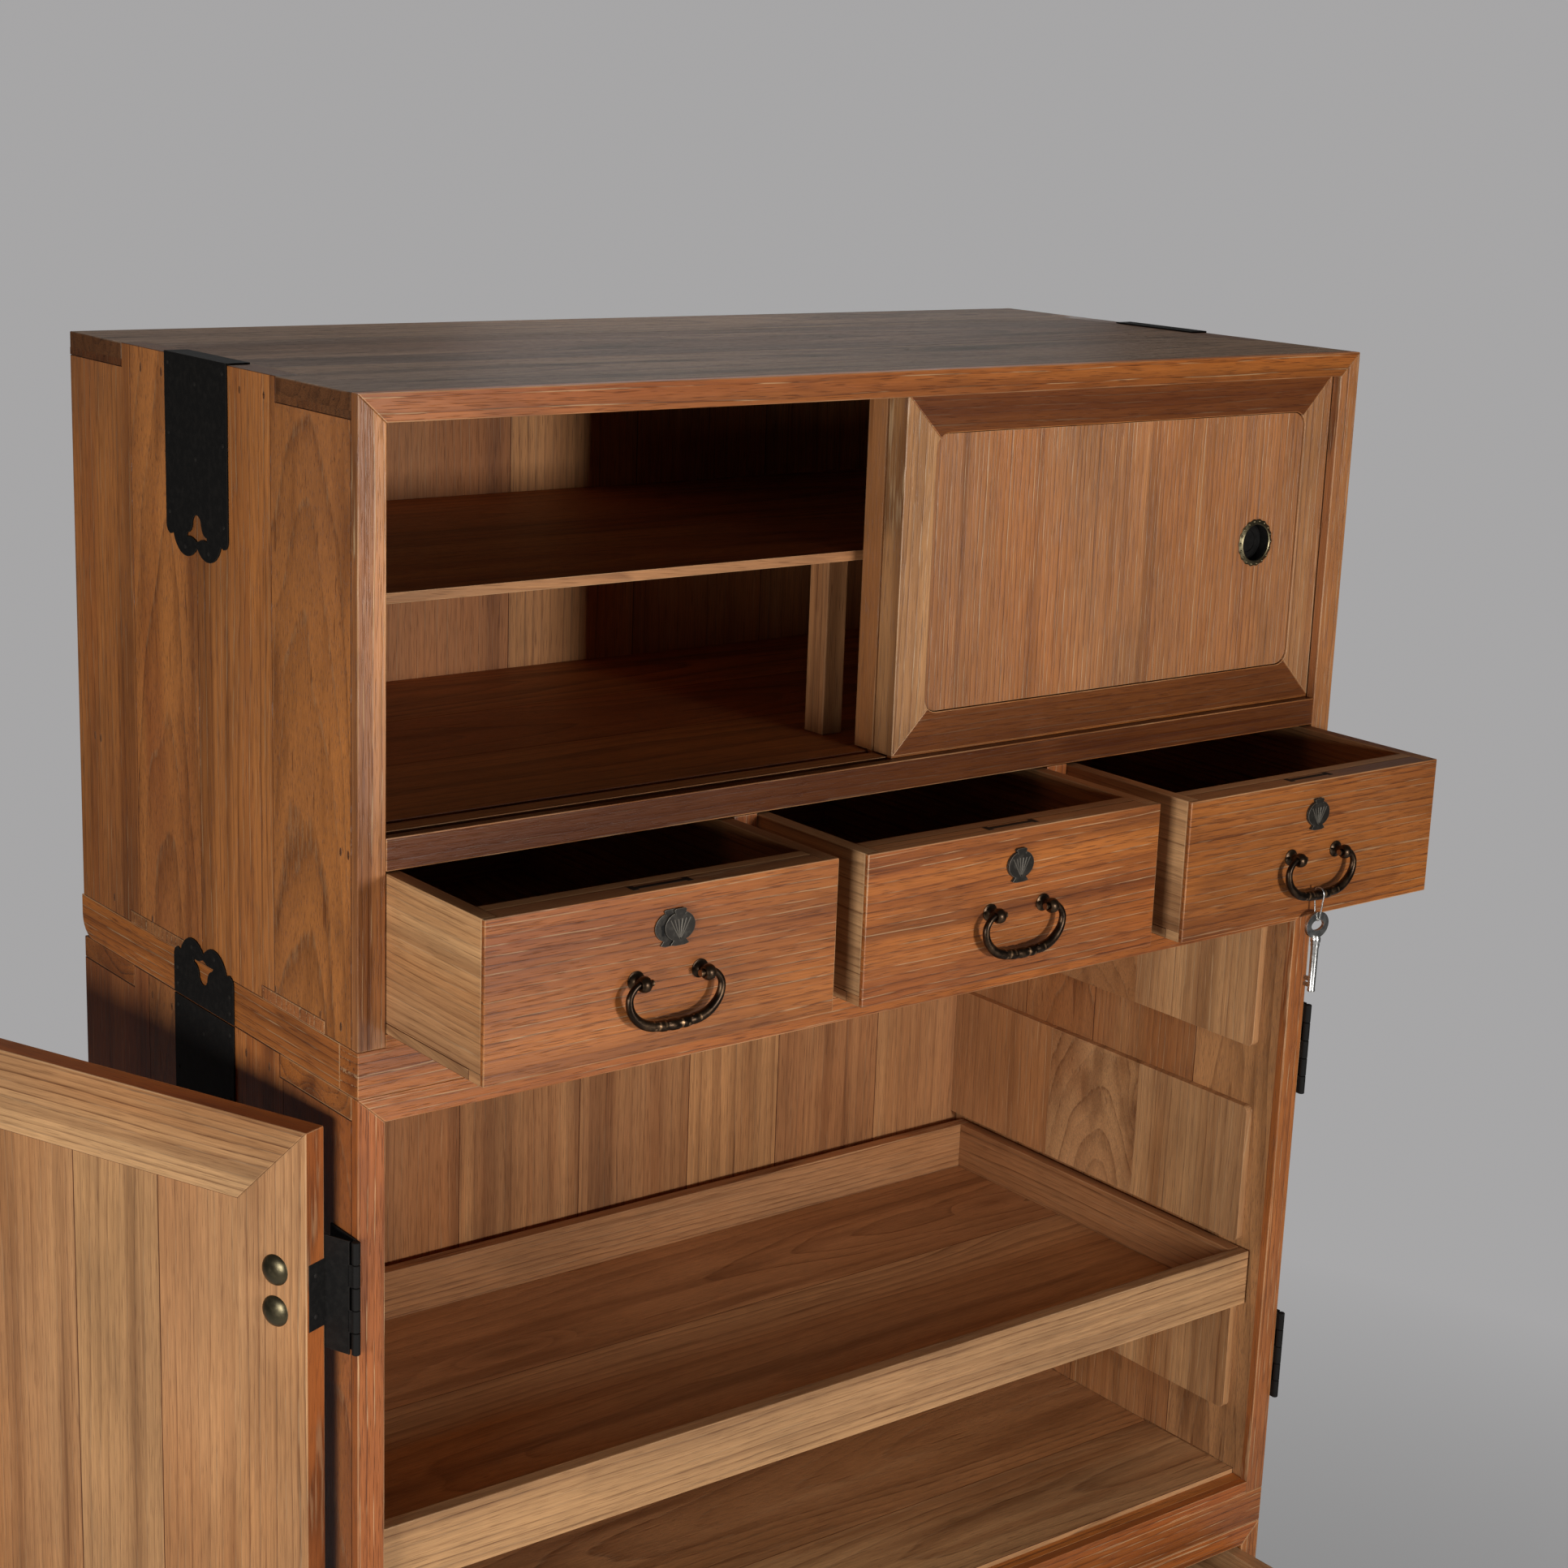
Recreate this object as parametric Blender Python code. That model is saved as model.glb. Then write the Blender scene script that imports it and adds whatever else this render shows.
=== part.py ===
"""Kimono chest: three stacked paulownia cases with drawers, sliding doors, hinged doors and a tray.

Metres, +Z up. +X is to the right of someone who faces the chest, -Y is towards them.
The origin is the middle of the footprint, on the surface that the chest stands on.
Moving pieces are modelled shut and carried to their rest place by a parent empty on their joint.
"""

import math

import bmesh
import bpy
from mathutils import Vector

# Outer sizes of the three cases
CASE_W = 1.000
CASE_D = 0.458
UPPER_H = 0.498
MIDDLE_H = 0.636
LOWER_H = 0.530

# Fits
SEAT = 0.0003
SLIDE_FIT = 0.0009
SWING_FIT = 0.0012
SOFT_EDGE = 0.0008

# Carcass boards
SIDE_T = 0.020
TOP_T = 0.018
BACK_T = 0.009
FACE_T = 0.009
STILE_W = 0.0224
TOP_RAIL_H = 0.0205
MID_RAIL_H = 0.0240
MID_RAIL_DROP = 0.3092
BASE_H = 0.035
BASE_RAIL_D = 0.026
BASE_PROUD = 0.004
SKID_W = 0.032
SKID_ROUND = 0.018
UPPER_FLOOR_T = 0.010
MIDDLE_FLOOR_T = 0.017

# Finger joints of the sides with the top and the bottom
TOP_FRONT_TONGUE_L = 0.116
TOP_BACK_TONGUE_L = 0.094
BASE_FRONT_SHOULDER = 0.048
BASE_BACK_SHOULDER = 0.090
BASE_TONGUE_L = 0.095

# Upper case: sliding-door tracks, floor, shelf and dividers
TRACK_W = 0.0072
TRACK_DEPTH = 0.0055
COMPARTMENT_FLOOR_T = 0.016
SHELF_DROP = 0.150
SHELF_T = 0.008
SHELF_SET_BACK = 0.066
POST_W = 0.020
POST_D = 0.024
POST_SET_BACK = 0.100
DIVIDER_W = 0.022

# Sliding doors
SLIDER_W = 0.490
SLIDER_T = 0.0225
SLIDER_TONGUE_T = 0.0060
SLIDER_LIFT = 0.0022
SLIDER_FRAME_W = 0.032
SLIDER_PANEL_SINK = 0.0016
SLIDER_PANEL_ROUND = 0.009
SLIDER_CLEAR = 0.0012
SLIDER_GAP = 0.0020
PULL_FROM_EDGE = 0.083
PULL_RIM_R = 0.0205
PULL_CUP_R = 0.0160
PULL_CUP_DEPTH = 0.0100
PULL_SHEET_T = 0.0010
PULL_SCALLOPS = 16
PULL_SCALLOP_H = 0.0007

# Drawers
DRAWER_BACK_ROOM = 0.029
DRAWER_FRONT_T = 0.018
DRAWER_WALL_T = 0.012
DRAWER_BOTTOM_T = 0.008
DRAWER_HEADROOM = 0.0015
LONG_DRAWER_HEADROOM = 0.004
LONG_DRAWER_WALL_T = 0.015
SMALL_DRAWER_OUT = {"left": 0.1285, "middle": 0.1332, "right": 0.1442}
LONG_DRAWER_OUT = {"upper": 0.090, "lower": 0.0}
LONG_BAIL_X = 0.270
LOWER_RAIL_H = 0.022

# Bail handles
BAIL_SPACING = 0.055
BAIL_ABOVE_BOTTOM = 0.055
BAIL_STANDOFF = 0.0105
BAIL_BULGE = 0.0120
BAIL_DROP = 0.0335
BAIL_END_R = 0.0022
BAIL_MID_R = 0.0037
BAIL_END_REACH = 0.0062
EYE_R = 0.0060
EYE_W = 0.0080
EYE_BORE_R = 0.0030
EYE_NECK_R = 0.0034
EYE_ROSE_R = 0.0070
EYE_ROSE_T = 0.0014

# Keyhole plates and their sliding covers
PLATE_T = 0.0012
PLATE_BELOW_TOP = 0.0288
PLATE_HALF_W = 0.0130
PLATE_HALF_H = 0.0136
COVER_SLID = {"left": 0.0075, "middle": 0.0, "right": 0.0}

# Key and its wire
KEY_BOW_HALF_W = 0.0135
KEY_BOW_HALF_H = 0.0115
KEY_HOLE_HALF_W = 0.0076
KEY_HOLE_HALF_H = 0.0045
KEY_BOW_T = 0.0026
KEY_SHAFT_R = 0.0034
KEY_SHAFT_L = 0.047
KEY_BIT_H = 0.009
KEY_BIT_REACH = 0.0055
KEY_BIT_T = 0.0018
KEY_WIRE_R = 0.0007
KEY_WIRE_DROP = 0.012

# Tray and its runners
TRAY_H = 0.054
TRAY_BACK_ROOM = 0.0125
TRAY_RIM_T = 0.013
TRAY_BOTTOM_T = 0.007
TRAY_SLOT_H = 0.060
TRAY_EDGE_FIT = 0.0030
TRAY_BEHIND_DOORS = 0.0015
RUNNER_T = 0.008
RUNNER_SET_BACK = 0.034
RUNNER_ROUND = 0.006
LOW_RUNNER_H = 0.114
MID_RUNNER_H = 0.137
TRAY_ON_RUNNER = "low"

# Hinged doors
DOOR_T = 0.020
DOOR_FRAME_W = 0.064
DOOR_PANEL_SINK = 0.0010
DOOR_MEETING_GAP = 0.0015
DOOR_STOP_STEP = 0.005
DOOR_REST_DEG = {"left": 248.0, "right": 270.0}

# Hinges
HINGE_H = 0.088
HINGE_FROM_END = 0.1275
HINGE_SHEET_T = 0.0015
HINGE_AXIS_OUT = 0.0030
HINGE_KNUCKLE_R = 0.0032
HINGE_PIN_R = 0.0015
HINGE_PIN_FIT = 0.0004
HINGE_KNUCKLES = 5
HINGE_KNUCKLE_FIT = 0.0005
HINGE_SHEET_CLEAR = 0.0012
HINGE_CASE_LEAF_W = 0.036
HINGE_DOOR_FLAP_W = 0.048
HINGE_TAB_H = 0.052
HINGE_TAB_D = 0.0175

# Iron straps
STRAP_W = 0.100
STRAP_T = 0.0012
STRAP_L = 0.148
STRAP_FOOT_L = 0.051
STRAP_FROM_FRONT = 0.2375
STRAP_TOP_TAB = 0.018
STRAP_SPLIT = 0.0006
STRAP_LOBE_U = 0.0175
STRAP_LOBE_H = 0.0085
STRAP_NOTCH_U = 0.0385
STRAP_NOTCH_H = 0.0148
STRAP_EAR_R = 0.0070
PIERCING_NECK_R = 0.0060
PIERCING_NECK_H = 0.0255

# Places that follow from the sizes above
FRONT = -CASE_D / 2
BACK = CASE_D / 2
HALF_W = CASE_W / 2
INNER_X = HALF_W - SIDE_T
OPENING_X = HALF_W - STILE_W
CARCASS_FRONT = FRONT + FACE_T + SEAT
INNER_BACK = BACK - BACK_T
DRAWER_END = INNER_BACK - DRAWER_BACK_ROOM
LOWER_TOP = LOWER_H
MIDDLE_Z = LOWER_TOP + SEAT
MIDDLE_TOP = MIDDLE_Z + MIDDLE_H
UPPER_Z = MIDDLE_TOP + SEAT
TOP_Z = UPPER_Z + UPPER_H
UPPER_FLOOR_Z = UPPER_Z + BASE_H + UPPER_FLOOR_T
MIDDLE_FLOOR_Z = MIDDLE_Z + BASE_H + MIDDLE_FLOOR_T
MID_RAIL_TOP = TOP_Z - MID_RAIL_DROP
MID_RAIL_BOTTOM = MID_RAIL_TOP - MID_RAIL_H
SIDES = {"left": -1, "right": 1}

WOOD = (0.42, 0.22, 0.10)
PALE_WOOD = (0.55, 0.38, 0.22)
DARK_WOOD = (0.20, 0.15, 0.11)
IRON = (0.035, 0.032, 0.030)
BRONZE = (0.10, 0.07, 0.045)
BRASS = (0.42, 0.32, 0.16)
NICKEL = (0.62, 0.60, 0.56)


def clear_scene():
    for old in list(bpy.data.objects):
        bpy.data.objects.remove(old, do_unlink=True)


def material(name, color, roughness, metallic):
    made = bpy.data.materials.new(name)
    made.use_nodes = True
    shader = made.node_tree.nodes["Principled BSDF"]
    shader.inputs["Base Color"].default_value = (*color, 1.0)
    shader.inputs["Roughness"].default_value = roughness
    shader.inputs["Metallic"].default_value = metallic
    made.diffuse_color = (*color, 1.0)
    return made


def make_object(name, bm):
    """Link a closed bmesh to the scene as one object."""
    bmesh.ops.recalc_face_normals(bm, faces=bm.faces)
    mesh = bpy.data.meshes.new(name)
    bm.to_mesh(mesh)
    bm.free()
    made = bpy.data.objects.new(name, mesh)
    bpy.context.scene.collection.objects.link(made)
    return made


def place_point(axis, along, u, v):
    """A point from its place along an axis and its two coordinates across it."""
    if axis == "X":
        return Vector((along, u, v))
    if axis == "Y":
        return Vector((u, along, v))
    return Vector((u, v, along))


def prism(name, outline, axis, lo, hi):
    """Extrude a flat outline, given across the axis, from lo to hi along it."""
    bm = bmesh.new()
    near = [bm.verts.new(place_point(axis, lo, u, v)) for u, v in outline]
    far = [bm.verts.new(place_point(axis, hi, u, v)) for u, v in outline]
    bm.faces.new(near)
    bm.faces.new(list(reversed(far)))
    for i in range(len(outline)):
        j = (i + 1) % len(outline)
        bm.faces.new((near[j], near[i], far[i], far[j]))
    return make_object(name, bm)


def block(name, x, y, z):
    """A rectangular board between pairs of limits."""
    outline = ((x[0], y[0]), (x[1], y[0]), (x[1], y[1]), (x[0], y[1]))
    return prism(name, outline, "Z", z[0], z[1])


def turned(name, profile, axis, centre, segments, wave=None):
    """Turn a closed (radius, height) profile about an axis; wave(angle, index) adds to a radius."""
    bm = bmesh.new()
    rings = []
    for index, (radius, height) in enumerate(profile):
        ring = []
        for step in range(segments):
            angle = 2 * math.pi * step / segments
            reach = radius + (wave(angle, index) if wave else 0.0)
            u = reach * math.cos(angle)
            v = reach * math.sin(angle)
            ring.append(bm.verts.new(place_point(axis, height, u, v) + Vector(centre)))
            if radius == 0.0:
                break
        rings.append(ring)
    for a, b in zip(rings, rings[1:] + rings[:1]):
        for i in range(segments):
            j = (i + 1) % segments
            corners = [a[i % len(a)], a[j % len(a)], b[j % len(b)], b[i % len(b)]]
            corners = list(dict.fromkeys(corners))
            if len(corners) > 2:
                bm.faces.new(corners)
    made = make_object(name, bm)
    shade_round(made)
    return made


def shade_round(made):
    made.data.shade_smooth()
    made.data.set_sharp_from_angle(angle=math.radians(40))


def swept_tube(name, points, radii, sides, closed=False):
    """A round bar along points, with its own radius at each; its ends are capped."""
    bm = bmesh.new()
    count = len(points)
    normal = None
    rings = []
    for i, point in enumerate(points):
        before = points[i - 1] if closed or i > 0 else point
        after = points[(i + 1) % count] if closed or i < count - 1 else point
        tangent = (after - before).normalized()
        if normal is None:
            helper = Vector((0, 1, 0)) if abs(tangent.y) < 0.9 else Vector((1, 0, 0))
            normal = tangent.cross(helper).normalized()
        normal = (normal - tangent * normal.dot(tangent)).normalized()
        across = tangent.cross(normal)
        ring = []
        for step in range(sides):
            angle = 2 * math.pi * step / sides
            spoke = normal * math.cos(angle) + across * math.sin(angle)
            ring.append(bm.verts.new(point + spoke * radii[i]))
        rings.append(ring)
    pairs = list(zip(rings, rings[1:]))
    if closed:
        pairs.append((rings[-1], rings[0]))
    else:
        bm.faces.new(rings[0])
        bm.faces.new(list(reversed(rings[-1])))
    for a, b in pairs:
        for i in range(sides):
            j = (i + 1) % sides
            bm.faces.new((a[j], a[i], b[i], b[j]))
    made = make_object(name, bm)
    shade_round(made)
    return made


def combine(target, other, operation):
    """Apply one Boolean to target and remove the other operand."""
    change = target.modifiers.new("combine", "BOOLEAN")
    change.operation = operation
    change.solver = "EXACT"
    change.object = other
    bpy.context.view_layer.update()
    graph = bpy.context.evaluated_depsgraph_get()
    result = bpy.data.meshes.new_from_object(target.evaluated_get(graph))
    target.modifiers.clear()
    old = target.data
    target.data = result
    result.name = target.name
    bpy.data.meshes.remove(old)
    bpy.data.objects.remove(other, do_unlink=True)


def cut(target, *cutters):
    for cutter in cutters:
        combine(target, cutter, "DIFFERENCE")
    return target


def fuse(target, *others):
    for other in others:
        combine(target, other, "UNION")
    return target


def finish(made, look, soften=0.0):
    """Give a piece its material and, where asked, softened outer edges."""
    made.data.materials.clear()
    made.data.materials.append(look)
    if soften > 0.0:
        mark_outer_edges(made.data)
        bevel = made.modifiers.new("soft_edges", "BEVEL")
        bevel.width = soften
        bevel.segments = 1
        bevel.limit_method = "WEIGHT"
    return made


def mark_outer_edges(mesh):
    """Weight the sharp convex edges for the bevel, so that inner corners keep their fit."""
    bm = bmesh.new()
    bm.from_mesh(mesh)
    weight = bm.edges.layers.float.new("bevel_weight_edge")
    for edge in bm.edges:
        sharp = edge.calc_face_angle_signed(0.0) > math.radians(50)
        edge[weight] = 1.0 if sharp else 0.0
    bm.to_mesh(mesh)
    bm.free()


def joint_empty(name, pivot=(0, 0, 0), parent=None):
    """The empty that carries one moving body; its place is on the joint's axis."""
    made = bpy.data.objects.new(name, None)
    made.empty_display_size = 0.03
    made.location = pivot
    made.parent = parent
    bpy.context.scene.collection.objects.link(made)
    return made


def carry(empty, pivot, *pieces):
    """Parent pieces that were modelled in the shut chest to a body's empty."""
    for piece in pieces:
        piece.parent = empty
        piece.location = -Vector(pivot)


def arc_through(start, middle, end, steps):
    """Points of the circular arc from start through middle to end, without its start."""
    (ax, ay), (bx, by), (cx, cy) = start, middle, end
    twice = 2 * (ax * (by - cy) + bx * (cy - ay) + cx * (ay - by))
    a2, b2, c2 = ax * ax + ay * ay, bx * bx + by * by, cx * cx + cy * cy
    ox = (a2 * (by - cy) + b2 * (cy - ay) + c2 * (ay - by)) / twice
    oy = (a2 * (cx - bx) + b2 * (ax - cx) + c2 * (bx - ax)) / twice
    radius = math.hypot(ax - ox, ay - oy)
    first = math.atan2(ay - oy, ax - ox)
    turn = math.atan2(cy - oy, cx - ox) - first
    half = math.atan2(by - oy, bx - ox) - first
    turn %= 2 * math.pi
    if half % (2 * math.pi) > turn:
        turn -= 2 * math.pi
    points = []
    for step in range(1, steps + 1):
        angle = first + turn * step / steps
        points.append((ox + radius * math.cos(angle), oy + radius * math.sin(angle)))
    return points


def smooth_curve(anchors, steps):
    """A Catmull-Rom curve through anchor points, with equal steps between neighbours."""
    points = []
    for i in range(len(anchors) - 1):
        p1, p2 = anchors[i], anchors[i + 1]
        p0 = anchors[i - 1] if i > 0 else p1 * 2 - p2
        p3 = anchors[i + 2] if i + 2 < len(anchors) else p2 * 2 - p1
        for step in range(steps):
            t = step / steps
            bend = (p2 - p0) * t + (p0 * 2 - p1 * 5 + p2 * 4 - p3) * t * t
            points.append((p1 * 2 + bend + (p1 * 3 - p0 - p2 * 3 + p3) * t * t * t) / 2)
    points.append(anchors[-1])
    return points


def rounded_rectangle(x, z, radius, steps=4):
    """Outline of a rectangle with round corners, between pairs of limits."""
    corners = (
        (x[1] - radius, z[1] - radius, 0.0),
        (x[0] + radius, z[1] - radius, 0.5),
        (x[0] + radius, z[0] + radius, 1.0),
        (x[1] - radius, z[0] + radius, 1.5),
    )
    points = []
    for cx, cz, quarter in corners:
        for step in range(steps + 1):
            angle = math.pi * (quarter + 0.5 * step / steps)
            points.append((cx + radius * math.cos(angle), cz + radius * math.sin(angle)))
    return points


def tongue_spans():
    """Where the bottom board's tongues pass through a side, front to back."""
    first = FRONT + BASE_FRONT_SHOULDER
    last = BACK - BASE_BACK_SHOULDER
    return [(first, first + BASE_TONGUE_L), (last - BASE_TONGUE_L, last)]


def side_outline(base_z, floor_z, top_z):
    """A case side seen square on: fingers at the top, notches for the bottom's tongues below."""
    low = base_z + SEAT
    points = [(CARCASS_FRONT, low)]
    for start, end in tongue_spans():
        points += [(start - SEAT, low), (start - SEAT, floor_z + SEAT)]
        points += [(end + SEAT, floor_z + SEAT), (end + SEAT, low)]
    shoulder = top_z - TOP_T - SEAT
    finger = (FRONT + TOP_FRONT_TONGUE_L + SEAT, BACK - TOP_BACK_TONGUE_L - SEAT)
    points += [(BACK, low), (BACK, shoulder), (finger[1], shoulder), (finger[1], top_z)]
    points += [(finger[0], top_z), (finger[0], shoulder), (CARCASS_FRONT, shoulder)]
    return points


def top_board(name, top_z):
    """The top of a case, notched at each end round the fingers of the sides."""
    inner = INNER_X - SEAT
    first = FRONT + TOP_FRONT_TONGUE_L
    last = BACK - TOP_BACK_TONGUE_L
    right = [(HALF_W, CARCASS_FRONT), (HALF_W, first), (inner, first)]
    right += [(inner, last), (HALF_W, last), (HALF_W, BACK)]
    left = [(-x, y) for x, y in reversed(right)]
    return prism(name, right + left, "Z", top_z - TOP_T, top_z)


def base_board(name, base_z, floor_z):
    """Bottom board, front rail and the two skids of a case, with tongues through the sides."""
    foot = base_z + BASE_H
    rear = BACK + BASE_PROUD
    middle = SKID_ROUND * (1 - math.sqrt(0.5))
    profile = [(FRONT, base_z), (rear - SKID_ROUND, base_z)]
    profile += arc_through(profile[-1], (rear - middle, base_z + middle), (rear, base_z + SKID_ROUND), 5)
    profile += [(rear, foot), (BACK, foot), (BACK, floor_z), (FRONT, floor_z)]
    made = prism(name, profile, "X", -HALF_W, HALF_W)
    hollow_x = HALF_W - SKID_W
    cut(made, block("hollow", (-hollow_x, hollow_x), (FRONT + BASE_RAIL_D, rear + 1), (base_z - 1, foot)))
    edges = [FRONT - 1]
    for start, end in tongue_spans():
        edges += [start, end]
    edges.append(rear + 1)
    notch_z = (foot, floor_z + 1)
    for sign in SIDES.values():
        beside = sorted((sign * (INNER_X - SEAT), sign * CASE_W))
        for low, high in zip(edges[0::2], edges[1::2]):
            cut(made, block("side_notch", beside, (low, high), notch_z))
        corner = sorted((sign * (OPENING_X - SEAT), sign * CASE_W))
        cut(made, block("stile_notch", corner, (FRONT - 1, CARCASS_FRONT), notch_z))
    return made


def back_board(name, floor_z, top_z):
    inner = INNER_X - SEAT
    return block(name, (-inner, inner), (INNER_BACK, BACK), (floor_z + SEAT, top_z - TOP_T - SEAT))


def face_frame(name, foot_z, top_z, openings):
    """The facing of a case, cut through by its openings."""
    made = block(name, (-HALF_W, HALF_W), (FRONT, FRONT + FACE_T), (foot_z + SEAT, top_z))
    for low, high in openings:
        cut(made, block("opening", (-OPENING_X, OPENING_X), (FRONT - 1, BACK), (low, high)))
    return made


def upper_case(looks):
    foot = UPPER_Z + BASE_H
    outline = side_outline(foot, UPPER_FLOOR_Z, TOP_Z)
    for side, sign in SIDES.items():
        across = sorted((sign * INNER_X, sign * HALF_W))
        finish(prism(f"upper_{side}_side", outline, "X", *across), looks["wood"], SOFT_EDGE)
    top = top_board("upper_top_board", TOP_Z)
    ceiling = TOP_Z - TOP_T
    for front in track_fronts():
        groove_z = (ceiling - 1, ceiling + TRACK_DEPTH)
        cut(top, block("groove", (-INNER_X + SEAT, INNER_X - SEAT), (front, front + TRACK_W), groove_z))
    finish(top, looks["dark_wood"], SOFT_EDGE)
    finish(back_board("upper_back", UPPER_FLOOR_Z, TOP_Z), looks["pale_wood"])
    finish(base_board("upper_bottom_board", UPPER_Z, UPPER_FLOOR_Z), looks["wood"])
    openings = ((UPPER_Z, MID_RAIL_BOTTOM), (MID_RAIL_TOP, TOP_Z - TOP_RAIL_H))
    finish(face_frame("upper_face_frame", foot, TOP_Z, openings), looks["wood"], SOFT_EDGE)
    compartment(looks)


def track_fronts():
    """Front edges of the two sliding-door grooves."""
    first = FRONT + FACE_T + SLIDER_CLEAR - (TRACK_W - SLIDER_TONGUE_T) / 2
    return (first, first + SLIDER_T + SLIDER_GAP)


def compartment(looks):
    """Grooved floor, shelf on its post, and the dividers between the small drawers."""
    inner = INNER_X - SEAT
    floor_back = INNER_BACK - SEAT
    low = MID_RAIL_TOP - COMPARTMENT_FLOOR_T
    sunk = MID_RAIL_TOP - TRACK_DEPTH
    first, second = track_fronts()
    profile = [(CARCASS_FRONT, low), (floor_back, low), (floor_back, MID_RAIL_TOP)]
    profile += [(second + TRACK_W, MID_RAIL_TOP), (second + TRACK_W, sunk), (second, sunk)]
    profile += [(second, MID_RAIL_TOP), (first + TRACK_W, MID_RAIL_TOP), (first + TRACK_W, sunk)]
    profile += [(CARCASS_FRONT, sunk)]
    finish(prism("compartment_floor", profile, "X", -inner, inner), looks["pale_wood"])

    shelf_top = TOP_Z - SHELF_DROP
    shelf_y = (FRONT + SHELF_SET_BACK, floor_back)
    shelf = block("shelf", (-inner, inner), shelf_y, (shelf_top - SHELF_T, shelf_top))
    post_y = (FRONT + POST_SET_BACK, FRONT + POST_SET_BACK + POST_D)
    post_z = (MID_RAIL_TOP + SEAT, shelf_top - SHELF_T / 2)
    fuse(shelf, block("post", (-POST_W / 2, POST_W / 2), post_y, post_z))
    finish(shelf, looks["pale_wood"])

    width = small_opening_w()
    foot = UPPER_FLOOR_Z + SEAT
    head = MID_RAIL_BOTTOM - SEAT
    outline = [(FRONT, foot), (floor_back, foot), (floor_back, low - SEAT)]
    outline += [(CARCASS_FRONT, low - SEAT), (CARCASS_FRONT, head), (FRONT, head)]
    for side, sign in SIDES.items():
        across = sorted((sign * width / 2, sign * (width / 2 + DIVIDER_W)))
        finish(prism(f"drawer_divider_{side}", outline, "X", *across), looks["wood"], SOFT_EDGE)


def sliding_door(name, front_y, pull_sign, looks):
    """A framed panel with tongues that run in the tracks, and its round finger pull."""
    right = INNER_X - SLIDE_FIT
    left = right - SLIDER_W
    low = MID_RAIL_TOP + SLIDER_CLEAR
    high = TOP_Z - TOP_T - SLIDER_CLEAR
    tongue_y = front_y + SLIDER_TONGUE_T
    back_y = front_y + SLIDER_T
    foot = MID_RAIL_TOP - TRACK_DEPTH + SEAT
    head = TOP_Z - TOP_T + TRACK_DEPTH - SLIDER_LIFT
    profile = [(front_y, foot), (tongue_y, foot), (tongue_y, low), (back_y, low)]
    profile += [(back_y, high), (tongue_y, high), (tongue_y, head), (front_y, head)]
    door = prism(name, profile, "X", left, right)
    panel_x = (left + SLIDER_FRAME_W, right - SLIDER_FRAME_W)
    panel_z = (low + SLIDER_FRAME_W, high - SLIDER_FRAME_W)
    panel = rounded_rectangle(panel_x, panel_z, SLIDER_PANEL_ROUND)
    panel_y = front_y + SLIDER_PANEL_SINK
    cut(door, prism("panel", panel, "Y", front_y - 1, panel_y))
    edge = right if pull_sign > 0 else left
    centre = (edge - pull_sign * PULL_FROM_EDGE, panel_y, (low + high) / 2)
    bore_r = PULL_CUP_R + PULL_SHEET_T + SEAT
    bore_end = PULL_CUP_DEPTH + PULL_SHEET_T + SEAT
    bore = [(0.0, -1.0), (bore_r, -1.0), (bore_r, bore_end), (0.0, bore_end)]
    cut(door, turned("bore", bore, "Y", centre, 24))
    finish(door, looks["wood"])
    pull = finger_pull(f"{name}_pull", centre)
    finish(pull, looks["brass"])
    body = joint_empty(f"{name}_slide")
    carry(body, (0, 0, 0), door, pull)


def finger_pull(name, centre):
    """A sheet-metal cup with a scalloped rim, set into the panel."""
    rim_y = -SEAT - PULL_SHEET_T
    wall_r = PULL_CUP_R + PULL_SHEET_T
    floor_y = PULL_CUP_DEPTH
    profile = [(0.0, floor_y), (PULL_CUP_R, floor_y), (PULL_CUP_R, rim_y), (PULL_RIM_R, rim_y)]
    profile += [(PULL_RIM_R, -SEAT), (wall_r, -SEAT), (wall_r, floor_y + PULL_SHEET_T)]
    profile += [(0.0, floor_y + PULL_SHEET_T)]
    rim = (3, 4)

    def scallops(angle, index):
        return PULL_SCALLOP_H * math.cos(PULL_SCALLOPS * angle) if index in rim else 0.0

    return turned(name, profile, "Y", centre, PULL_SCALLOPS * 2, scallops)


def small_opening_w():
    """Width of one small drawer's opening in the upper case."""
    return (2 * OPENING_X - 2 * DIVIDER_W) / 3


def drawer_shell(name, x, y, z, wall):
    """An open box: walls all round and a bottom."""
    made = block(name, x, y, z)
    inside_x = (x[0] + wall, x[1] - wall)
    inside_y = (y[0] + wall, y[1] - wall)
    return cut(made, block("inside", inside_x, inside_y, (z[0] + DRAWER_BOTTOM_T, z[1] + 1)))


def bail_eye(pivot):
    """One eye of a handle: a rose on the wood, a neck, and a rounded ring for the bail's end."""
    half = EYE_W / 2
    shoulder = EYE_R * 0.78
    ring = [(EYE_BORE_R, -half), (shoulder, -half), (EYE_R, -half / 2), (EYE_R, half / 2)]
    ring += [(shoulder, half), (EYE_BORE_R, half)]
    eye = turned("eye", ring, "X", pivot, 12)
    wood_y = BAIL_STANDOFF
    foot = (0.0, wood_y + EYE_ROSE_T)
    stem = [(0.0, EYE_BORE_R + 0.0008), (EYE_NECK_R, EYE_BORE_R + 0.0008), (EYE_NECK_R, wood_y - EYE_ROSE_T)]
    stem += [(EYE_ROSE_R, wood_y - EYE_ROSE_T / 2), (EYE_ROSE_R, foot[1]), foot]
    return fuse(eye, turned("stem", stem, "Y", pivot, 8))


def bail_pivots(centre_x, front_y, bottom_z):
    """Centres of a handle's two eyes."""
    y = front_y - BAIL_STANDOFF
    z = bottom_z + BAIL_ABOVE_BOTTOM
    return [(centre_x + sign * BAIL_SPACING / 2, y, z) for sign in SIDES.values()]


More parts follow.
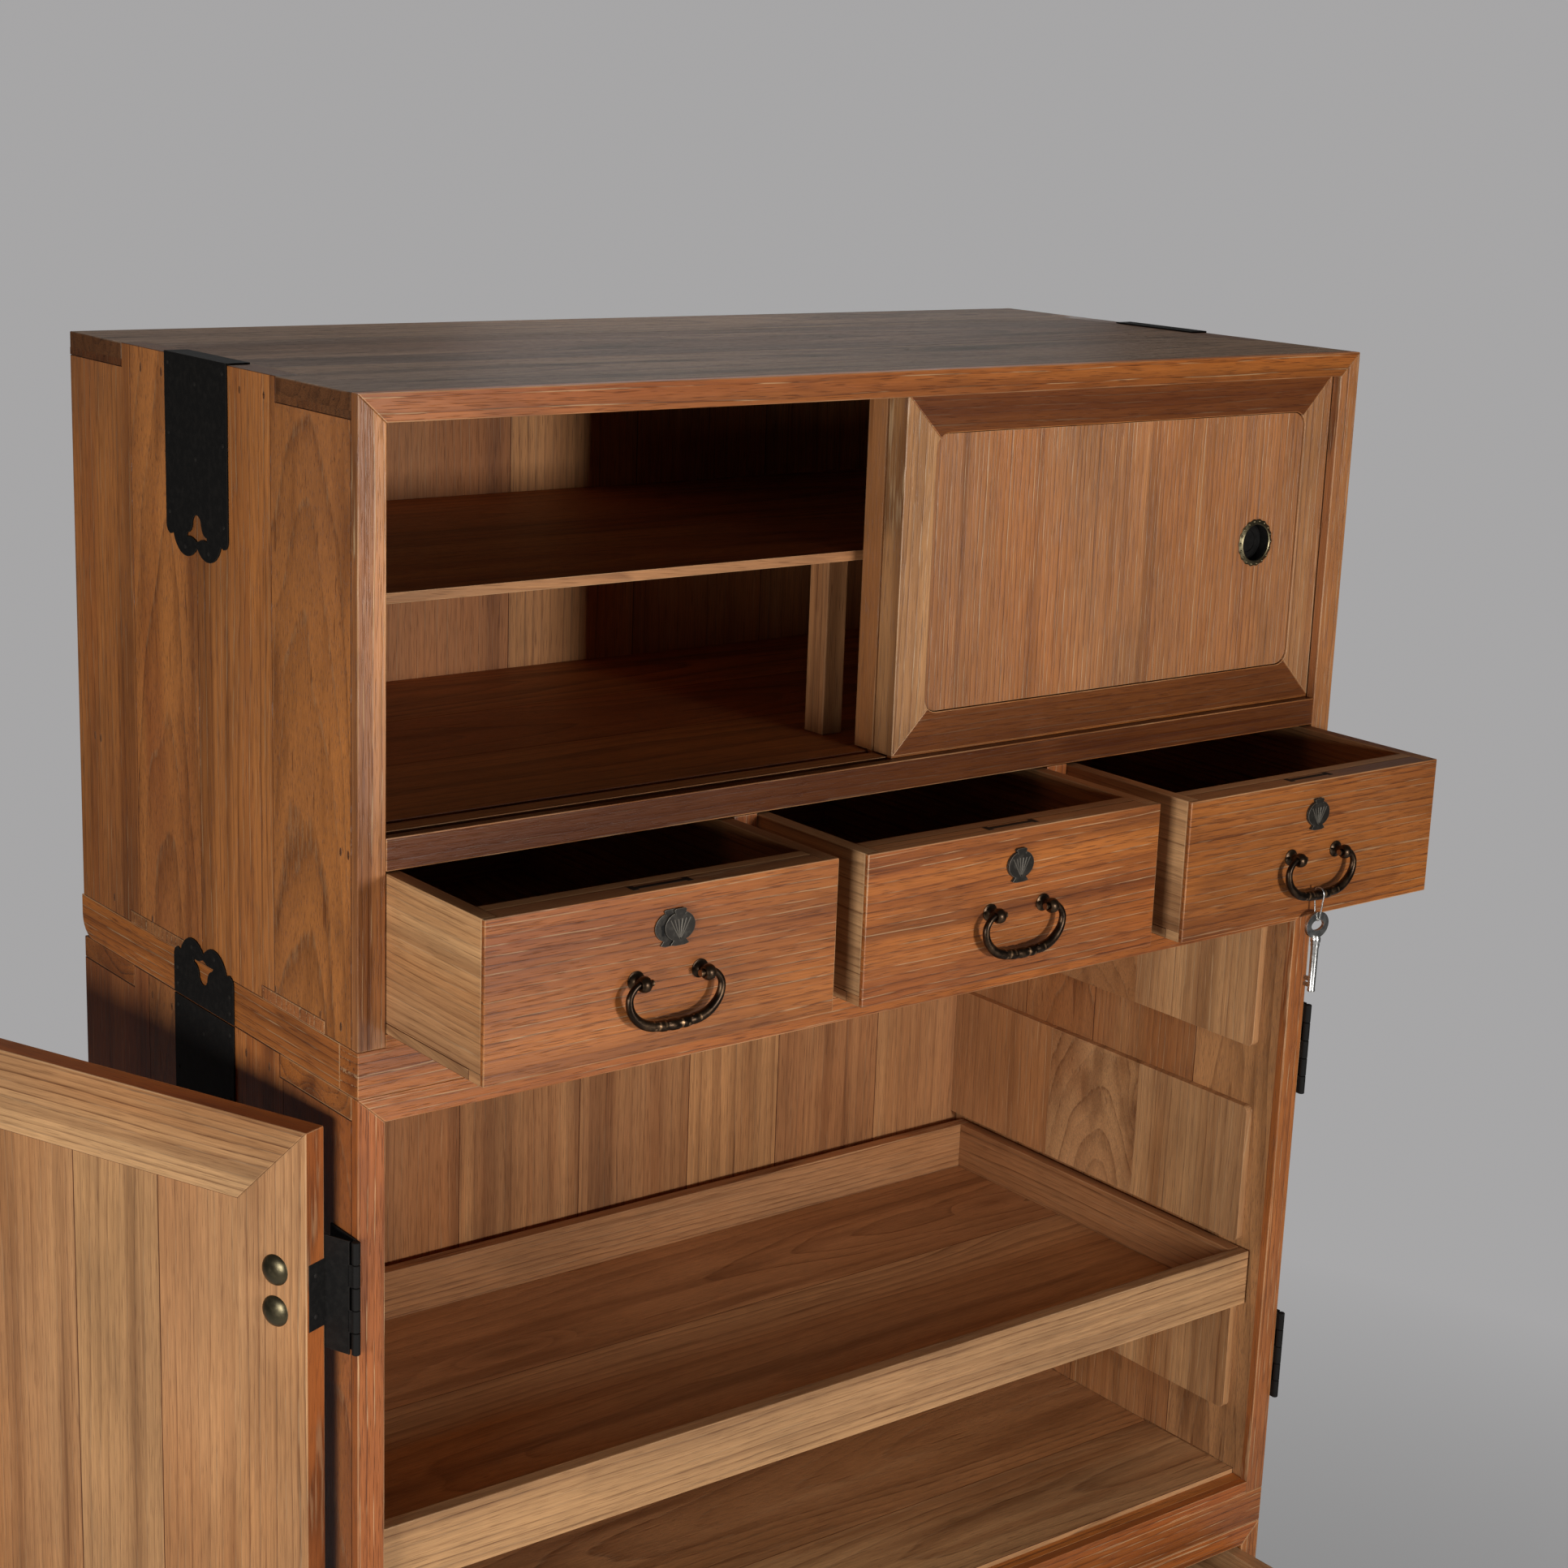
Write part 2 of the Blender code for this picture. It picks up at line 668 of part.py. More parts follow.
def bail(name, centre, look):
    """The swinging bar of a handle: ends turned in through the eyes, thicker at the middle."""
    half = BAIL_SPACING / 2
    widest = half + BAIL_BULGE
    right = [
        (half - BAIL_END_REACH, 0.0),
        (half + BAIL_END_REACH * 0.8, 0.0),
        (widest, -BAIL_DROP * 0.27),
        (widest * 0.92, -BAIL_DROP * 0.64),
        (half * 0.86, -BAIL_DROP * 0.92),
    ]
    outline = [(-x, z) for x, z in right] + [(0.0, -BAIL_DROP)] + list(reversed(right))
    points = smooth_curve([Vector((x, 0.0, z)) for x, z in outline], 3)
    radii = []
    for point in points:
        depth = min(1.0, max(0.0, -point.z / BAIL_DROP))
        radii.append(BAIL_END_R + (BAIL_MID_R - BAIL_END_R) * depth ** 1.5)
    made = swept_tube(name, [point + Vector(centre) for point in points], radii, 8)
    return finish(made, look)


def add_bail(name, pivots, drawer_body, look):
    """A bail on its own hinge empty, half way between its eyes."""
    centre = (Vector(pivots[0]) + Vector(pivots[1])) / 2
    hinge = joint_empty(f"{name}_hinge", centre, drawer_body)
    carry(hinge, centre, bail(name, centre, look))
    return hinge, centre


def plate_outline():
    """A broad round plate with a small tab above and a flared foot below."""
    w, h = PLATE_HALF_W, PLATE_HALF_H
    right = [(0.30 * w, h), (0.42 * w, 0.92 * h), (0.32 * w, 0.71 * h)]
    right += arc_through(right[-1], (w, 0.04 * h), (0.42 * w, -0.68 * h), 9)
    right += [(0.62 * w, -0.92 * h)]
    foot = arc_through(right[-1], (0.0, -1.02 * h), (-0.62 * w, -0.92 * h), 4)
    left = [(-x, z) for x, z in reversed(right)]
    return right + foot[:-1] + left


def keyhole(side, centre_x, front_y, top_z, body, looks):
    """The lock's plate on the drawer front, and the cover that slides across it."""
    z = top_z - PLATE_BELOW_TOP
    outline = [(centre_x + u, z + v) for u, v in plate_outline()]
    plate_y = front_y - SEAT
    cover_y = plate_y - PLATE_T - SEAT
    plate = prism(f"{side}_keyhole_plate", outline, "Y", plate_y - PLATE_T, plate_y)
    cover = prism(f"{side}_keyhole_cover", outline, "Y", cover_y - PLATE_T, cover_y)
    carry(body, (0, 0, 0), finish(plate, looks["iron"]))
    slide = joint_empty(f"{side}_keyhole_cover_slide", (COVER_SLID[side], 0, 0), body)
    carry(slide, (0, 0, 0), finish(cover, looks["iron"]))


def small_drawers(looks):
    pitch = small_opening_w() + DIVIDER_W
    half = small_opening_w() / 2 - SLIDE_FIT
    low = UPPER_FLOOR_Z + SEAT
    high = MID_RAIL_BOTTOM - DRAWER_HEADROOM
    box_y = (FRONT + DRAWER_FRONT_T + SEAT, DRAWER_END)
    for index, side in enumerate(SMALL_DRAWER_OUT):
        centre_x = (index - 1) * pitch
        x = (centre_x - half, centre_x + half)
        body = joint_empty(f"{side}_drawer_slide", (0, -SMALL_DRAWER_OUT[side], 0))
        box = drawer_shell(f"{side}_drawer_box", x, box_y, (low, high), DRAWER_WALL_T)
        finish(box, looks["pale_wood"], SOFT_EDGE)
        front = block(f"{side}_drawer_front", x, (FRONT, FRONT + DRAWER_FRONT_T), (low, high))
        pivots = bail_pivots(centre_x, FRONT, low)
        fuse(front, *(bail_eye(pivot) for pivot in pivots))
        finish(front, looks["wood"])
        carry(body, (0, 0, 0), box, front)
        keyhole(side, centre_x, FRONT, high, body, looks)
        hinge, centre = add_bail(f"{side}_drawer_bail", pivots, body, looks["bronze"])
        if side == "right":
            add_key(hinge, centre, looks["nickel"])


def add_key(bail_hinge, bail_centre, look):
    """The key, hung by a long wire link from the lowest point of the right drawer's bail."""
    bar = Vector(bail_centre) + Vector((0, 0, -BAIL_DROP))
    swing = joint_empty("key_swing", (0, 0, -BAIL_DROP), bail_hinge)
    carry(swing, bar, finish(key_on_wire("key", bar), look))


def oval(centre_x, centre_z, half_w, half_h, steps=18):
    points = []
    for step in range(steps):
        angle = 2 * math.pi * step / steps
        points.append((centre_x + half_w * math.cos(angle), centre_z + half_h * math.sin(angle)))
    return points


def wire_link(bar, low_z):
    """A closed link in the plane across the bar: round the bar above, narrow where the bow hangs."""
    top_r = BAIL_MID_R + KEY_WIRE_R + 0.0008
    low_r = KEY_BOW_T / 2 + KEY_WIRE_R + 0.0006
    points = []
    for step in range(11):
        angle = math.pi * step / 10
        points.append(Vector((bar.x, bar.y + top_r * math.cos(angle), bar.z + top_r * math.sin(angle))))
    for step in range(7):
        angle = math.pi * (1 + step / 6)
        points.append(Vector((bar.x, bar.y + low_r * math.cos(angle), low_z + low_r * math.sin(angle))))
    return swept_tube("link", points, [KEY_WIRE_R] * len(points), 6, closed=True)


def key_on_wire(name, bar):
    """A flat oval bow with an oval hole, a round shaft and a bit, with the wire that it hangs on."""
    bow_z = bar.z - BAIL_MID_R - KEY_WIRE_DROP - KEY_BOW_HALF_H
    bow_y = (bar.y - KEY_BOW_T / 2, bar.y + KEY_BOW_T / 2)
    bow = prism(name, oval(bar.x, bow_z, KEY_BOW_HALF_W, KEY_BOW_HALF_H), "Y", *bow_y)
    hole = oval(bar.x, bow_z, KEY_HOLE_HALF_W, KEY_HOLE_HALF_H)
    cut(bow, prism("hole", hole, "Y", bow_y[0] - 1, bow_y[1] + 1))
    head = bow_z - KEY_BOW_HALF_H
    foot = head - KEY_SHAFT_L
    shaft = [(0.0, head + 0.0030), (KEY_SHAFT_R, head + 0.0022), (KEY_SHAFT_R * 1.2, head - 0.0030)]
    shaft += [(KEY_SHAFT_R, head - 0.0090), (KEY_SHAFT_R * 0.9, foot), (0.0, foot)]
    fuse(bow, turned("shaft", shaft, "Z", (bar.x, bar.y, 0.0), 12))
    bit_y = (bar.y, bar.y + KEY_SHAFT_R + KEY_BIT_REACH)
    bit_x = (bar.x - KEY_BIT_T / 2, bar.x + KEY_BIT_T / 2)
    fuse(bow, block("bit", bit_x, bit_y, (foot + 0.003, foot + 0.003 + KEY_BIT_H)))
    rim_low = bow_z + KEY_HOLE_HALF_H
    low_r = KEY_BOW_T / 2 + KEY_WIRE_R + 0.0006
    fuse(bow, wire_link(bar, rim_low + low_r - KEY_WIRE_R * 0.6))
    return bow


def runner_heights():
    """Bottom and top of each tray runner: a slot for a tray's edge lies under each one."""
    low = MIDDLE_FLOOR_Z + TRAY_SLOT_H
    middle = low + LOW_RUNNER_H + TRAY_SLOT_H
    high = middle + MID_RUNNER_H + TRAY_SLOT_H
    ceiling = MIDDLE_TOP - TOP_T - SEAT
    return {
        "low": (low, low + LOW_RUNNER_H),
        "middle": (middle, middle + MID_RUNNER_H),
        "high": (high, ceiling),
    }


def runner_outline(low, high):
    """A runner seen from inside the case: round front corners, square at the back."""
    front = FRONT + RUNNER_SET_BACK
    r = RUNNER_ROUND
    lean = r * (1 - math.sqrt(0.5))
    points = [(INNER_BACK - SEAT, low), (INNER_BACK - SEAT, high), (front + r, high)]
    points += arc_through(points[-1], (front + lean, high - lean), (front, high - r), 3)
    points.append((front, low + r))
    points += arc_through(points[-1], (front + lean, low + lean), (front + r, low), 3)
    return points


def middle_case(looks):
    foot = MIDDLE_Z + BASE_H
    outline = side_outline(foot, MIDDLE_FLOOR_Z, MIDDLE_TOP)
    for side, sign in SIDES.items():
        board = prism(f"middle_{side}_side", outline, "X", *sorted((sign * INNER_X, sign * HALF_W)))
        inset = sorted((sign * (INNER_X - RUNNER_T), sign * (INNER_X + SIDE_T / 2)))
        for low, high in runner_heights().values():
            fuse(board, prism("runner", runner_outline(low, high), "X", *inset))
        finish(board, looks["wood"])
    finish(top_board("middle_top_board", MIDDLE_TOP), looks["wood"], SOFT_EDGE)
    finish(back_board("middle_back", MIDDLE_FLOOR_Z, MIDDLE_TOP), looks["pale_wood"])
    base = base_board("middle_bottom_board", MIDDLE_Z, MIDDLE_FLOOR_Z)
    rebate_y = (FRONT - 1, FRONT + DOOR_T + SWING_FIT)
    sill = MIDDLE_FLOOR_Z - DOOR_STOP_STEP
    cut(base, block("rebate", (-CASE_W, CASE_W), rebate_y, (sill, MIDDLE_TOP)))
    finish(base, looks["wood"])
    openings = ((MIDDLE_Z, MIDDLE_TOP - TOP_RAIL_H),)
    finish(face_frame("middle_face_frame", foot, MIDDLE_TOP, openings), looks["wood"], SOFT_EDGE)


def tray(looks):
    """A flat tray with a low rim, resting on the runners just behind the shut doors."""
    half = INNER_X - TRAY_EDGE_FIT
    low = runner_heights()[TRAY_ON_RUNNER][1] + SEAT
    front = FRONT + DOOR_T + TRAY_BEHIND_DOORS
    x = (-half, half)
    y = (front, INNER_BACK - TRAY_BACK_ROOM)
    z = (low, low + TRAY_H)
    made = block("tray", x, y, z)
    inside_x = (x[0] + TRAY_RIM_T, x[1] - TRAY_RIM_T)
    inside_y = (y[0] + TRAY_RIM_T, y[1] - TRAY_RIM_T)
    cut(made, block("inside", inside_x, inside_y, (low + TRAY_BOTTOM_T, z[1] + 1)))
    finish(made, looks["pale_wood"], SOFT_EDGE)
    carry(joint_empty("tray_slide"), (0, 0, 0), made)


def door_limits():
    """Bottom and top of the hinged doors."""
    low = MIDDLE_FLOOR_Z - DOOR_STOP_STEP + SWING_FIT
    high = MIDDLE_TOP - TOP_RAIL_H - SWING_FIT
    return low, high


def hinge_centres():
    low, high = door_limits()
    return {"upper": high - HINGE_FROM_END, "lower": low + HINGE_FROM_END}


def hinge_axis(sign):
    return Vector((sign * (HALF_W + HINGE_AXIS_OUT), FRONT - HINGE_AXIS_OUT, 0.0))


def hinged_doors(looks):
    low, high = door_limits()
    for side, sign in SIDES.items():
        outer = OPENING_X - SWING_FIT
        x = sorted((sign * outer, sign * DOOR_MEETING_GAP / 2))
        door = block(f"{side}_door", x, (FRONT, FRONT + DOOR_T), (low, high))
        panel_x = (x[0] + DOOR_FRAME_W, x[1] - DOOR_FRAME_W)
        panel_z = (low + DOOR_FRAME_W, high - DOOR_FRAME_W)
        inner_face = FRONT + DOOR_T
        panel_y = ((FRONT - 1, FRONT + DOOR_PANEL_SINK), (inner_face - DOOR_PANEL_SINK, inner_face + 1))
        for span in panel_y:
            cut(door, block("panel", panel_x, span, panel_z))
        axis = hinge_axis(sign)
        turn = joint_empty(f"{side}_door_hinge", axis)
        turn.rotation_euler.z = sign * math.radians(DOOR_REST_DEG[side])
        for place, z in hinge_centres().items():
            bed = HINGE_SHEET_T + SEAT
            bed_x = sorted((sign * (outer - bed), sign * CASE_W))
            half = HINGE_TAB_H / 2 + SEAT
            bed_y = (FRONT - 1, FRONT + HINGE_TAB_D + SEAT)
            cut(door, block("tab_bed", bed_x, bed_y, (z - half, z + half)))
            leaf = door_leaf(f"{side}_{place}_hinge_door_leaf", sign, z, outer)
            carry(turn, axis, finish(leaf, looks["iron"]))
            finish(case_leaf(f"{side}_{place}_hinge_case_leaf", sign, z), looks["iron"])
        carry(turn, axis, finish(door, looks["wood"], SOFT_EDGE))


def knuckle_spans(centre_z):
    """Bottom and top of each knuckle of one hinge, with a little play between them."""
    pitch = HINGE_H / HINGE_KNUCKLES
    low = centre_z - HINGE_H / 2
    spans = []
    for index in range(HINGE_KNUCKLES):
        start = low + index * pitch
        spans.append((start + HINGE_KNUCKLE_FIT / 2, start + pitch - HINGE_KNUCKLE_FIT / 2))
    return spans


def knuckle(axis, span, bore_r):
    """One knuckle of a hinge, bored for the pin."""
    profile = [(bore_r, span[0]), (HINGE_KNUCKLE_R, span[0]), (HINGE_KNUCKLE_R, span[1]), (bore_r, span[1])]
    return turned("knuckle", profile, "Z", axis, 10)


def case_leaf(name, sign, centre_z):
    """Sheet on the case's side, with the odd knuckles and the pin."""
    axis = hinge_axis(sign)
    low, high = centre_z - HINGE_H / 2, centre_z + HINGE_H / 2
    sheet_x = sorted((sign * (HALF_W + SEAT), sign * (HALF_W + SEAT + HINGE_SHEET_T)))
    edge = FRONT + HINGE_SHEET_CLEAR
    leaf = block(name, sheet_x, (edge, edge + HINGE_CASE_LEAF_W), (low, high))
    for span in knuckle_spans(centre_z)[0::2]:
        fuse(leaf, block("tongue", sheet_x, (axis.y, edge + HINGE_SHEET_CLEAR), span))
        fuse(leaf, knuckle(axis, span, HINGE_PIN_R * 0.7))
    pin = [(0.0, low), (HINGE_PIN_R, low), (HINGE_PIN_R, high), (0.0, high)]
    return fuse(leaf, turned("pin", pin, "Z", axis, 8))


def door_leaf(name, sign, centre_z, door_edge):
    """Sheet across the stile and on to the door, a tab let into the door's edge, even knuckles."""
    axis = hinge_axis(sign)
    low, high = centre_z - HINGE_H / 2, centre_z + HINGE_H / 2
    sheet_y = (FRONT - SEAT - HINGE_SHEET_T, FRONT - SEAT)
    edge = HALF_W - HINGE_SHEET_CLEAR
    sheet_x = sorted((sign * (door_edge - HINGE_DOOR_FLAP_W), sign * edge))
    leaf = block(name, sheet_x, sheet_y, (low, high))
    for span in knuckle_spans(centre_z)[1::2]:
        tongue_x = sorted((sign * (edge - HINGE_SHEET_CLEAR), sign * abs(axis.x)))
        fuse(leaf, cut(block("tongue", tongue_x, sheet_y, span), pin_bore(axis, span)))
        fuse(leaf, knuckle(axis, span, HINGE_PIN_R + HINGE_PIN_FIT))
    tab_x = sorted((sign * (door_edge - HINGE_SHEET_T), sign * door_edge))
    tab_z = (centre_z - HINGE_TAB_H / 2, centre_z + HINGE_TAB_H / 2)
    return fuse(leaf, block("tab", tab_x, (FRONT - SEAT - HINGE_SHEET_T / 2, FRONT + HINGE_TAB_D), tab_z))


def pin_bore(axis, span):
    bore_r = HINGE_PIN_R + HINGE_PIN_FIT
    profile = [(0.0, span[0] - 1), (bore_r, span[0] - 1), (bore_r, span[1] + 1), (0.0, span[1] + 1)]
    return turned("pin_bore", profile, "Z", axis, 10)


def strap_outline(length):
    """Half-width and depth below the straight end: two lobes meet in a cusp between small ears."""
    half = STRAP_W / 2
    ear = half - STRAP_EAR_R
    ear_lean = STRAP_EAR_R * math.sqrt(0.5)
    ear_start = length - STRAP_NOTCH_H - STRAP_EAR_R + 0.0015
    ear_end = (ear, ear_start + STRAP_EAR_R)
    points = [(half, 0.0), (half, ear_start)]
    points += arc_through(points[-1], (ear + ear_lean, ear_start + ear_lean), ear_end, 4)
    points.append((STRAP_NOTCH_U, length - STRAP_NOTCH_H))
    points += arc_through(points[-1], (STRAP_LOBE_U, length), (0.0, length - STRAP_LOBE_H), 8)
    return points + [(-u, v) for u, v in reversed(points[:-1])]


def strap_piercing(length):
    """The bell-shaped opening above the cusp."""
    neck = PIERCING_NECK_R
    top = length - PIERCING_NECK_H
    points = [(neck, top)]
    points += arc_through(points[-1], (0.0085, length - 0.0205), (0.0160, length - 0.0180), 4)
    points.append((0.0170, length - 0.0150))
    points += arc_through(points[-1], (0.0088, length - 0.0155), (0.0, length - 0.0125), 4)
    left = [(-u, v) for u, v in reversed(points[:-1])]
    crown = arc_through((-neck, top), (0.0, top - neck), (neck, top), 6)
    return points + left + crown[:-1]


def strap(name, sign, start_z, direction, length):
    """An iron strap on a case side, running up or down from start_z."""
    x = sorted((sign * (HALF_W + SEAT), sign * (HALF_W + SEAT + STRAP_T)))
    centre = FRONT + STRAP_FROM_FRONT
    outline = [(centre + u, start_z + direction * v) for u, v in strap_outline(length)]
    piercing = [(centre + u, start_z + direction * v) for u, v in strap_piercing(length)]
    made = prism(name, outline, "X", *x)
    return cut(made, prism("piercing", piercing, "X", -CASE_W, CASE_W))


def straps(looks):
    lid = TOP_Z + SEAT + STRAP_T
    centre = FRONT + STRAP_FROM_FRONT
    span = (centre - STRAP_W / 2, centre + STRAP_W / 2)
    for side, sign in SIDES.items():
        top = strap(f"top_strap_{side}", sign, lid, -1, STRAP_L + SEAT + STRAP_T)
        tab_x = sorted((sign * (HALF_W - STRAP_TOP_TAB), sign * (HALF_W + SEAT + STRAP_T / 2)))
        fuse(top, block("tab", tab_x, span, (TOP_Z + SEAT, lid)))
        finish(top, looks["iron"])
        foot = strap(f"upper_foot_strap_{side}", sign, UPPER_Z + STRAP_SPLIT, 1, STRAP_FOOT_L)
        finish(foot, looks["iron"])
        head = strap(f"middle_head_strap_{side}", sign, MIDDLE_TOP - STRAP_SPLIT, -1, STRAP_L)
        finish(head, looks["iron"])


def lower_drawer_spans():
    """Bottom and top of the two long drawers' openings, the upper one first."""
    low = BASE_H + UPPER_FLOOR_T
    high = LOWER_TOP - TOP_RAIL_H
    opening = (high - low - LOWER_RAIL_H) / 2
    return {"upper": (high - opening, high), "lower": (low, low + opening)}


def lower_case(looks):
    """The bottom case, glued up as one carcass, with its two long drawers."""
    made = block("lower_case", (-HALF_W, HALF_W), (FRONT, BACK), (0.0, LOWER_TOP))
    half = OPENING_X - SLIDE_FIT
    for place, (low, high) in lower_drawer_spans().items():
        cut(made, block("drawer_space", (-OPENING_X, OPENING_X), (FRONT - 1, INNER_BACK), (low, high)))
        body = joint_empty(f"{place}_long_drawer_slide", (0, -LONG_DRAWER_OUT[place], 0))
        z = (low + SEAT, high - LONG_DRAWER_HEADROOM)
        y = (FRONT, DRAWER_END)
        drawer = drawer_shell(f"{place}_long_drawer", (-half, half), y, z, LONG_DRAWER_WALL_T)
        for side, sign in SIDES.items():
            pivots = bail_pivots(sign * LONG_BAIL_X, FRONT, low + (high - low - BAIL_ABOVE_BOTTOM) / 2)
            fuse(drawer, *(bail_eye(pivot) for pivot in pivots))
            add_bail(f"{place}_long_drawer_{side}_bail", pivots, body, looks["bronze"])
        carry(body, (0, 0, 0), finish(drawer, looks["wood"]))
    finish(made, looks["wood"], SOFT_EDGE)


def main():
    clear_scene()
    looks = {
        "wood": material("paulownia_face", WOOD, 0.55, 0.0),
        "pale_wood": material("paulownia_pale", PALE_WOOD, 0.65, 0.0),
        "dark_wood": material("paulownia_weathered", DARK_WOOD, 0.65, 0.0),
        "iron": material("blackened_iron", IRON, 0.55, 0.8),
        "bronze": material("dark_bronze", BRONZE, 0.38, 1.0),
        "brass": material("aged_brass", BRASS, 0.40, 1.0),
        "nickel": material("nickel_plate", NICKEL, 0.25, 1.0),
    }
    upper_case(looks)
    fronts = FRONT + FACE_T + SLIDER_CLEAR
    sliding_door("front_sliding_door", fronts, 1, looks)
    sliding_door("rear_sliding_door", fronts + SLIDER_T + SLIDER_GAP, -1, looks)
    small_drawers(looks)
    middle_case(looks)
    tray(looks)
    hinged_doors(looks)
    straps(looks)
    lower_case(looks)
    bpy.context.view_layer.update()


main()
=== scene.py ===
"""Looks of the kimono chest: its boards, hardware and finishes, with the light and the camera.

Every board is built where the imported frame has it, bevelled, and carries its own grain, so that
one solid wood texture runs along each board and shows its end grain at the ends.
"""

import math
import random

import bmesh
import bpy
from mathutils import Matrix, Vector
from mathutils.geometry import tessellate_polygon

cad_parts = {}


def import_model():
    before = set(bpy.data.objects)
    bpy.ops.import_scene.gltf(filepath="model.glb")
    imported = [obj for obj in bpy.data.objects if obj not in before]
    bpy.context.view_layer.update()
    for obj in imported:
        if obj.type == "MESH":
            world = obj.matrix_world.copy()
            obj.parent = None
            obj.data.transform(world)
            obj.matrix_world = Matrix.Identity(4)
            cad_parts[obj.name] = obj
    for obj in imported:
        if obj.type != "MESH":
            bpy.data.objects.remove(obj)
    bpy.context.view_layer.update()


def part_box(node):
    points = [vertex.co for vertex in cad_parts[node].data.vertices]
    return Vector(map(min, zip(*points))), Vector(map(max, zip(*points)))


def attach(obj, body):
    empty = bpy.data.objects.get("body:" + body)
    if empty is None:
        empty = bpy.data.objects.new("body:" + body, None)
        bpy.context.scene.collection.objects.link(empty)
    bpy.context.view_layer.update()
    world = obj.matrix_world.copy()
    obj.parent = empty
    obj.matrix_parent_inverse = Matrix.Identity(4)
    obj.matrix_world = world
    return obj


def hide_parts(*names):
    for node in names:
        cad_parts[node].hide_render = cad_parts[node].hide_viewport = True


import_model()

# Sizes of the joinery, metres
SEAT = 0.0003
TOP_T = 0.018
FACE_T = 0.009
STILE_W = 0.0224
TOP_RAIL_H = 0.0205
MID_RAIL_H = 0.0240
BASE_H = 0.035
BASE_RAIL_D = 0.026
SKID_W = 0.032
SKID_ROUND = 0.018
SILL_STEP = 0.005
TOP_FRONT_TONGUE_L = 0.116
TOP_BACK_TONGUE_L = 0.094
BASE_FRONT_SHOULDER = 0.048
BASE_BACK_SHOULDER = 0.090
BASE_TONGUE_L = 0.095
TRACK_W = 0.0072
TRACK_DEPTH = 0.0055
TRACK_FRONTS = (-0.2194, -0.1949)
SLIVER = 0.0005
SHELF_T = 0.008
POST_HALF_W = 0.010
POST_SETBACK = 0.100
POST_D = 0.024
RUNNER_T = 0.008
RUNNER_SETBACK = 0.034
RUNNER_ROUND = 0.006
RUNNER_GAP = 0.060
RUNNER_HEIGHTS = (0.114, 0.137)
PEG_HALF_W = 0.0016
PEG_HALF_H = 0.0028
PEG_DEPTH = 0.004
PEG_PROUD = 0.0002

# Widths of the rounded edges, metres
EDGE = 0.0009
SLIDER_EDGE = 0.0007
SEAM_EDGE = 0.0005
FINE_EDGE = 0.0004
PLATE_EDGE = 0.0003
SHEET_EDGE = 0.00025

# Sizes of the moving pieces, metres
SLIDER_FRAME_W = 0.032
SLIDER_CLEAR = 0.0012
SLIDER_SINK = 0.0016
SLIDER_BACK_SINK = 0.0015
SLIDER_ROUND = 0.013
SLIDER_TONGUE_T = 0.0060
PANEL_GAP = 0.0006
PULL_RIM_R = 0.0205
PULL_CUP_R = 0.0160
PULL_CUP_DEPTH = 0.0100
PULL_HOLE_CLEAR = 0.0013
PULL_FROM_EDGE = 0.083
PULL_BEADS = 18
DRAWER_FRONT_T = 0.018
DRAWER_WALL_T = 0.012
DRAWER_LAP = 0.004
DRAWER_BOTTOM_T = 0.008
LONG_DRAWER_D = 0.420
LONG_WALL_T = 0.015
LONG_CLEAR = 0.0009
LONG_HEADROOM = 0.004
LONG_SILL_H = 0.010
LONG_RAIL_H = 0.022
LONG_BAIL_X = 0.270
TRAY_RIM_T = 0.013
TRAY_BOTTOM_T = 0.007
DOOR_T = 0.020
DOOR_CLEAR = 0.0012
DOOR_MEETING_GAP = 0.00075
DOOR_FRAME_W = 0.064
DOOR_SINK = 0.0010
DOOR_REST = {"left": math.radians(248.0), "right": math.radians(270.0)}

# Sizes of the hardware, metres
BAIL_SPACING = 0.055
BAIL_ABOVE_BOTTOM = 0.055
BAIL_STANDOFF = 0.0105
BAIL_BULGE = 0.0120
BAIL_DROP = 0.0335
BAIL_END_R = 0.0022
BAIL_MID_R = 0.0037
BAIL_FULLNESS = 1.12
BAIL_END_REACH = 0.0062
BAIL_LEAVES = 4.5
EYE_R = 0.0060
EYE_W = 0.0080
EYE_BORE_R = 0.0030
EYE_NECK_R = 0.0034
EYE_ROSE_R = 0.0070
EYE_ROSE_T = 0.0014
PLATE_T = 0.0012
PLATE_HALF_W = 0.0130
PLATE_HALF_H = 0.0136
PLATE_BELOW_TOP = 0.0288
KEYHOLE_ASIDE = 0.0062
FAN_LINES = 6
FAN_LINE_R = 0.00045
LOCK_REACH = 0.026
LOCK_STRIKE = 0.80 * LOCK_REACH
LOCK_DEPTH = 0.002
KEY_T = 0.0026
KEY_BOW = (0.0135, 0.0115)
KEY_BOW_HOLE = (0.0076, 0.0045)
KEY_SHAFT_L = 0.047
KEY_BIT_HALF_T = 0.0009
KEY_BIT_REACH = 0.0089
WIRE_L = 0.012
WIRE_R = 0.0007
HINGE_H = 0.088
HINGE_FROM_DOOR_END = 0.1275
HINGE_SHEET_T = 0.0015
HINGE_AXIS_OUT = 0.0030
HINGE_KNUCKLE_R = 0.0032
HINGE_KNUCKLES = 5
HINGE_KNUCKLE_GAP = 0.00025
HINGE_CASE_LEAF_W = 0.036
HINGE_DOOR_FLAP_W = 0.048
HINGE_SHEET_CLEAR = 0.0012
HINGE_TAB_H = 0.052
HINGE_TAB_D = 0.0175
HINGE_TAB_T = 0.0004
TACK_FROM_EDGE = 0.029
TACK_OFFSETS = (-0.0155, 0.0165)
STRAP_W = 0.100
STRAP_T = 0.0012
STRAP_TOP_TAB = 0.018
STRAP_NAIL_R = 0.0018

SIDES = {"left": -1, "right": 1}

# How far each way of sawing runs along the rings
FLATNESS = {"quarter": 0.0, "rift": 0.35, "flat": 1.0}

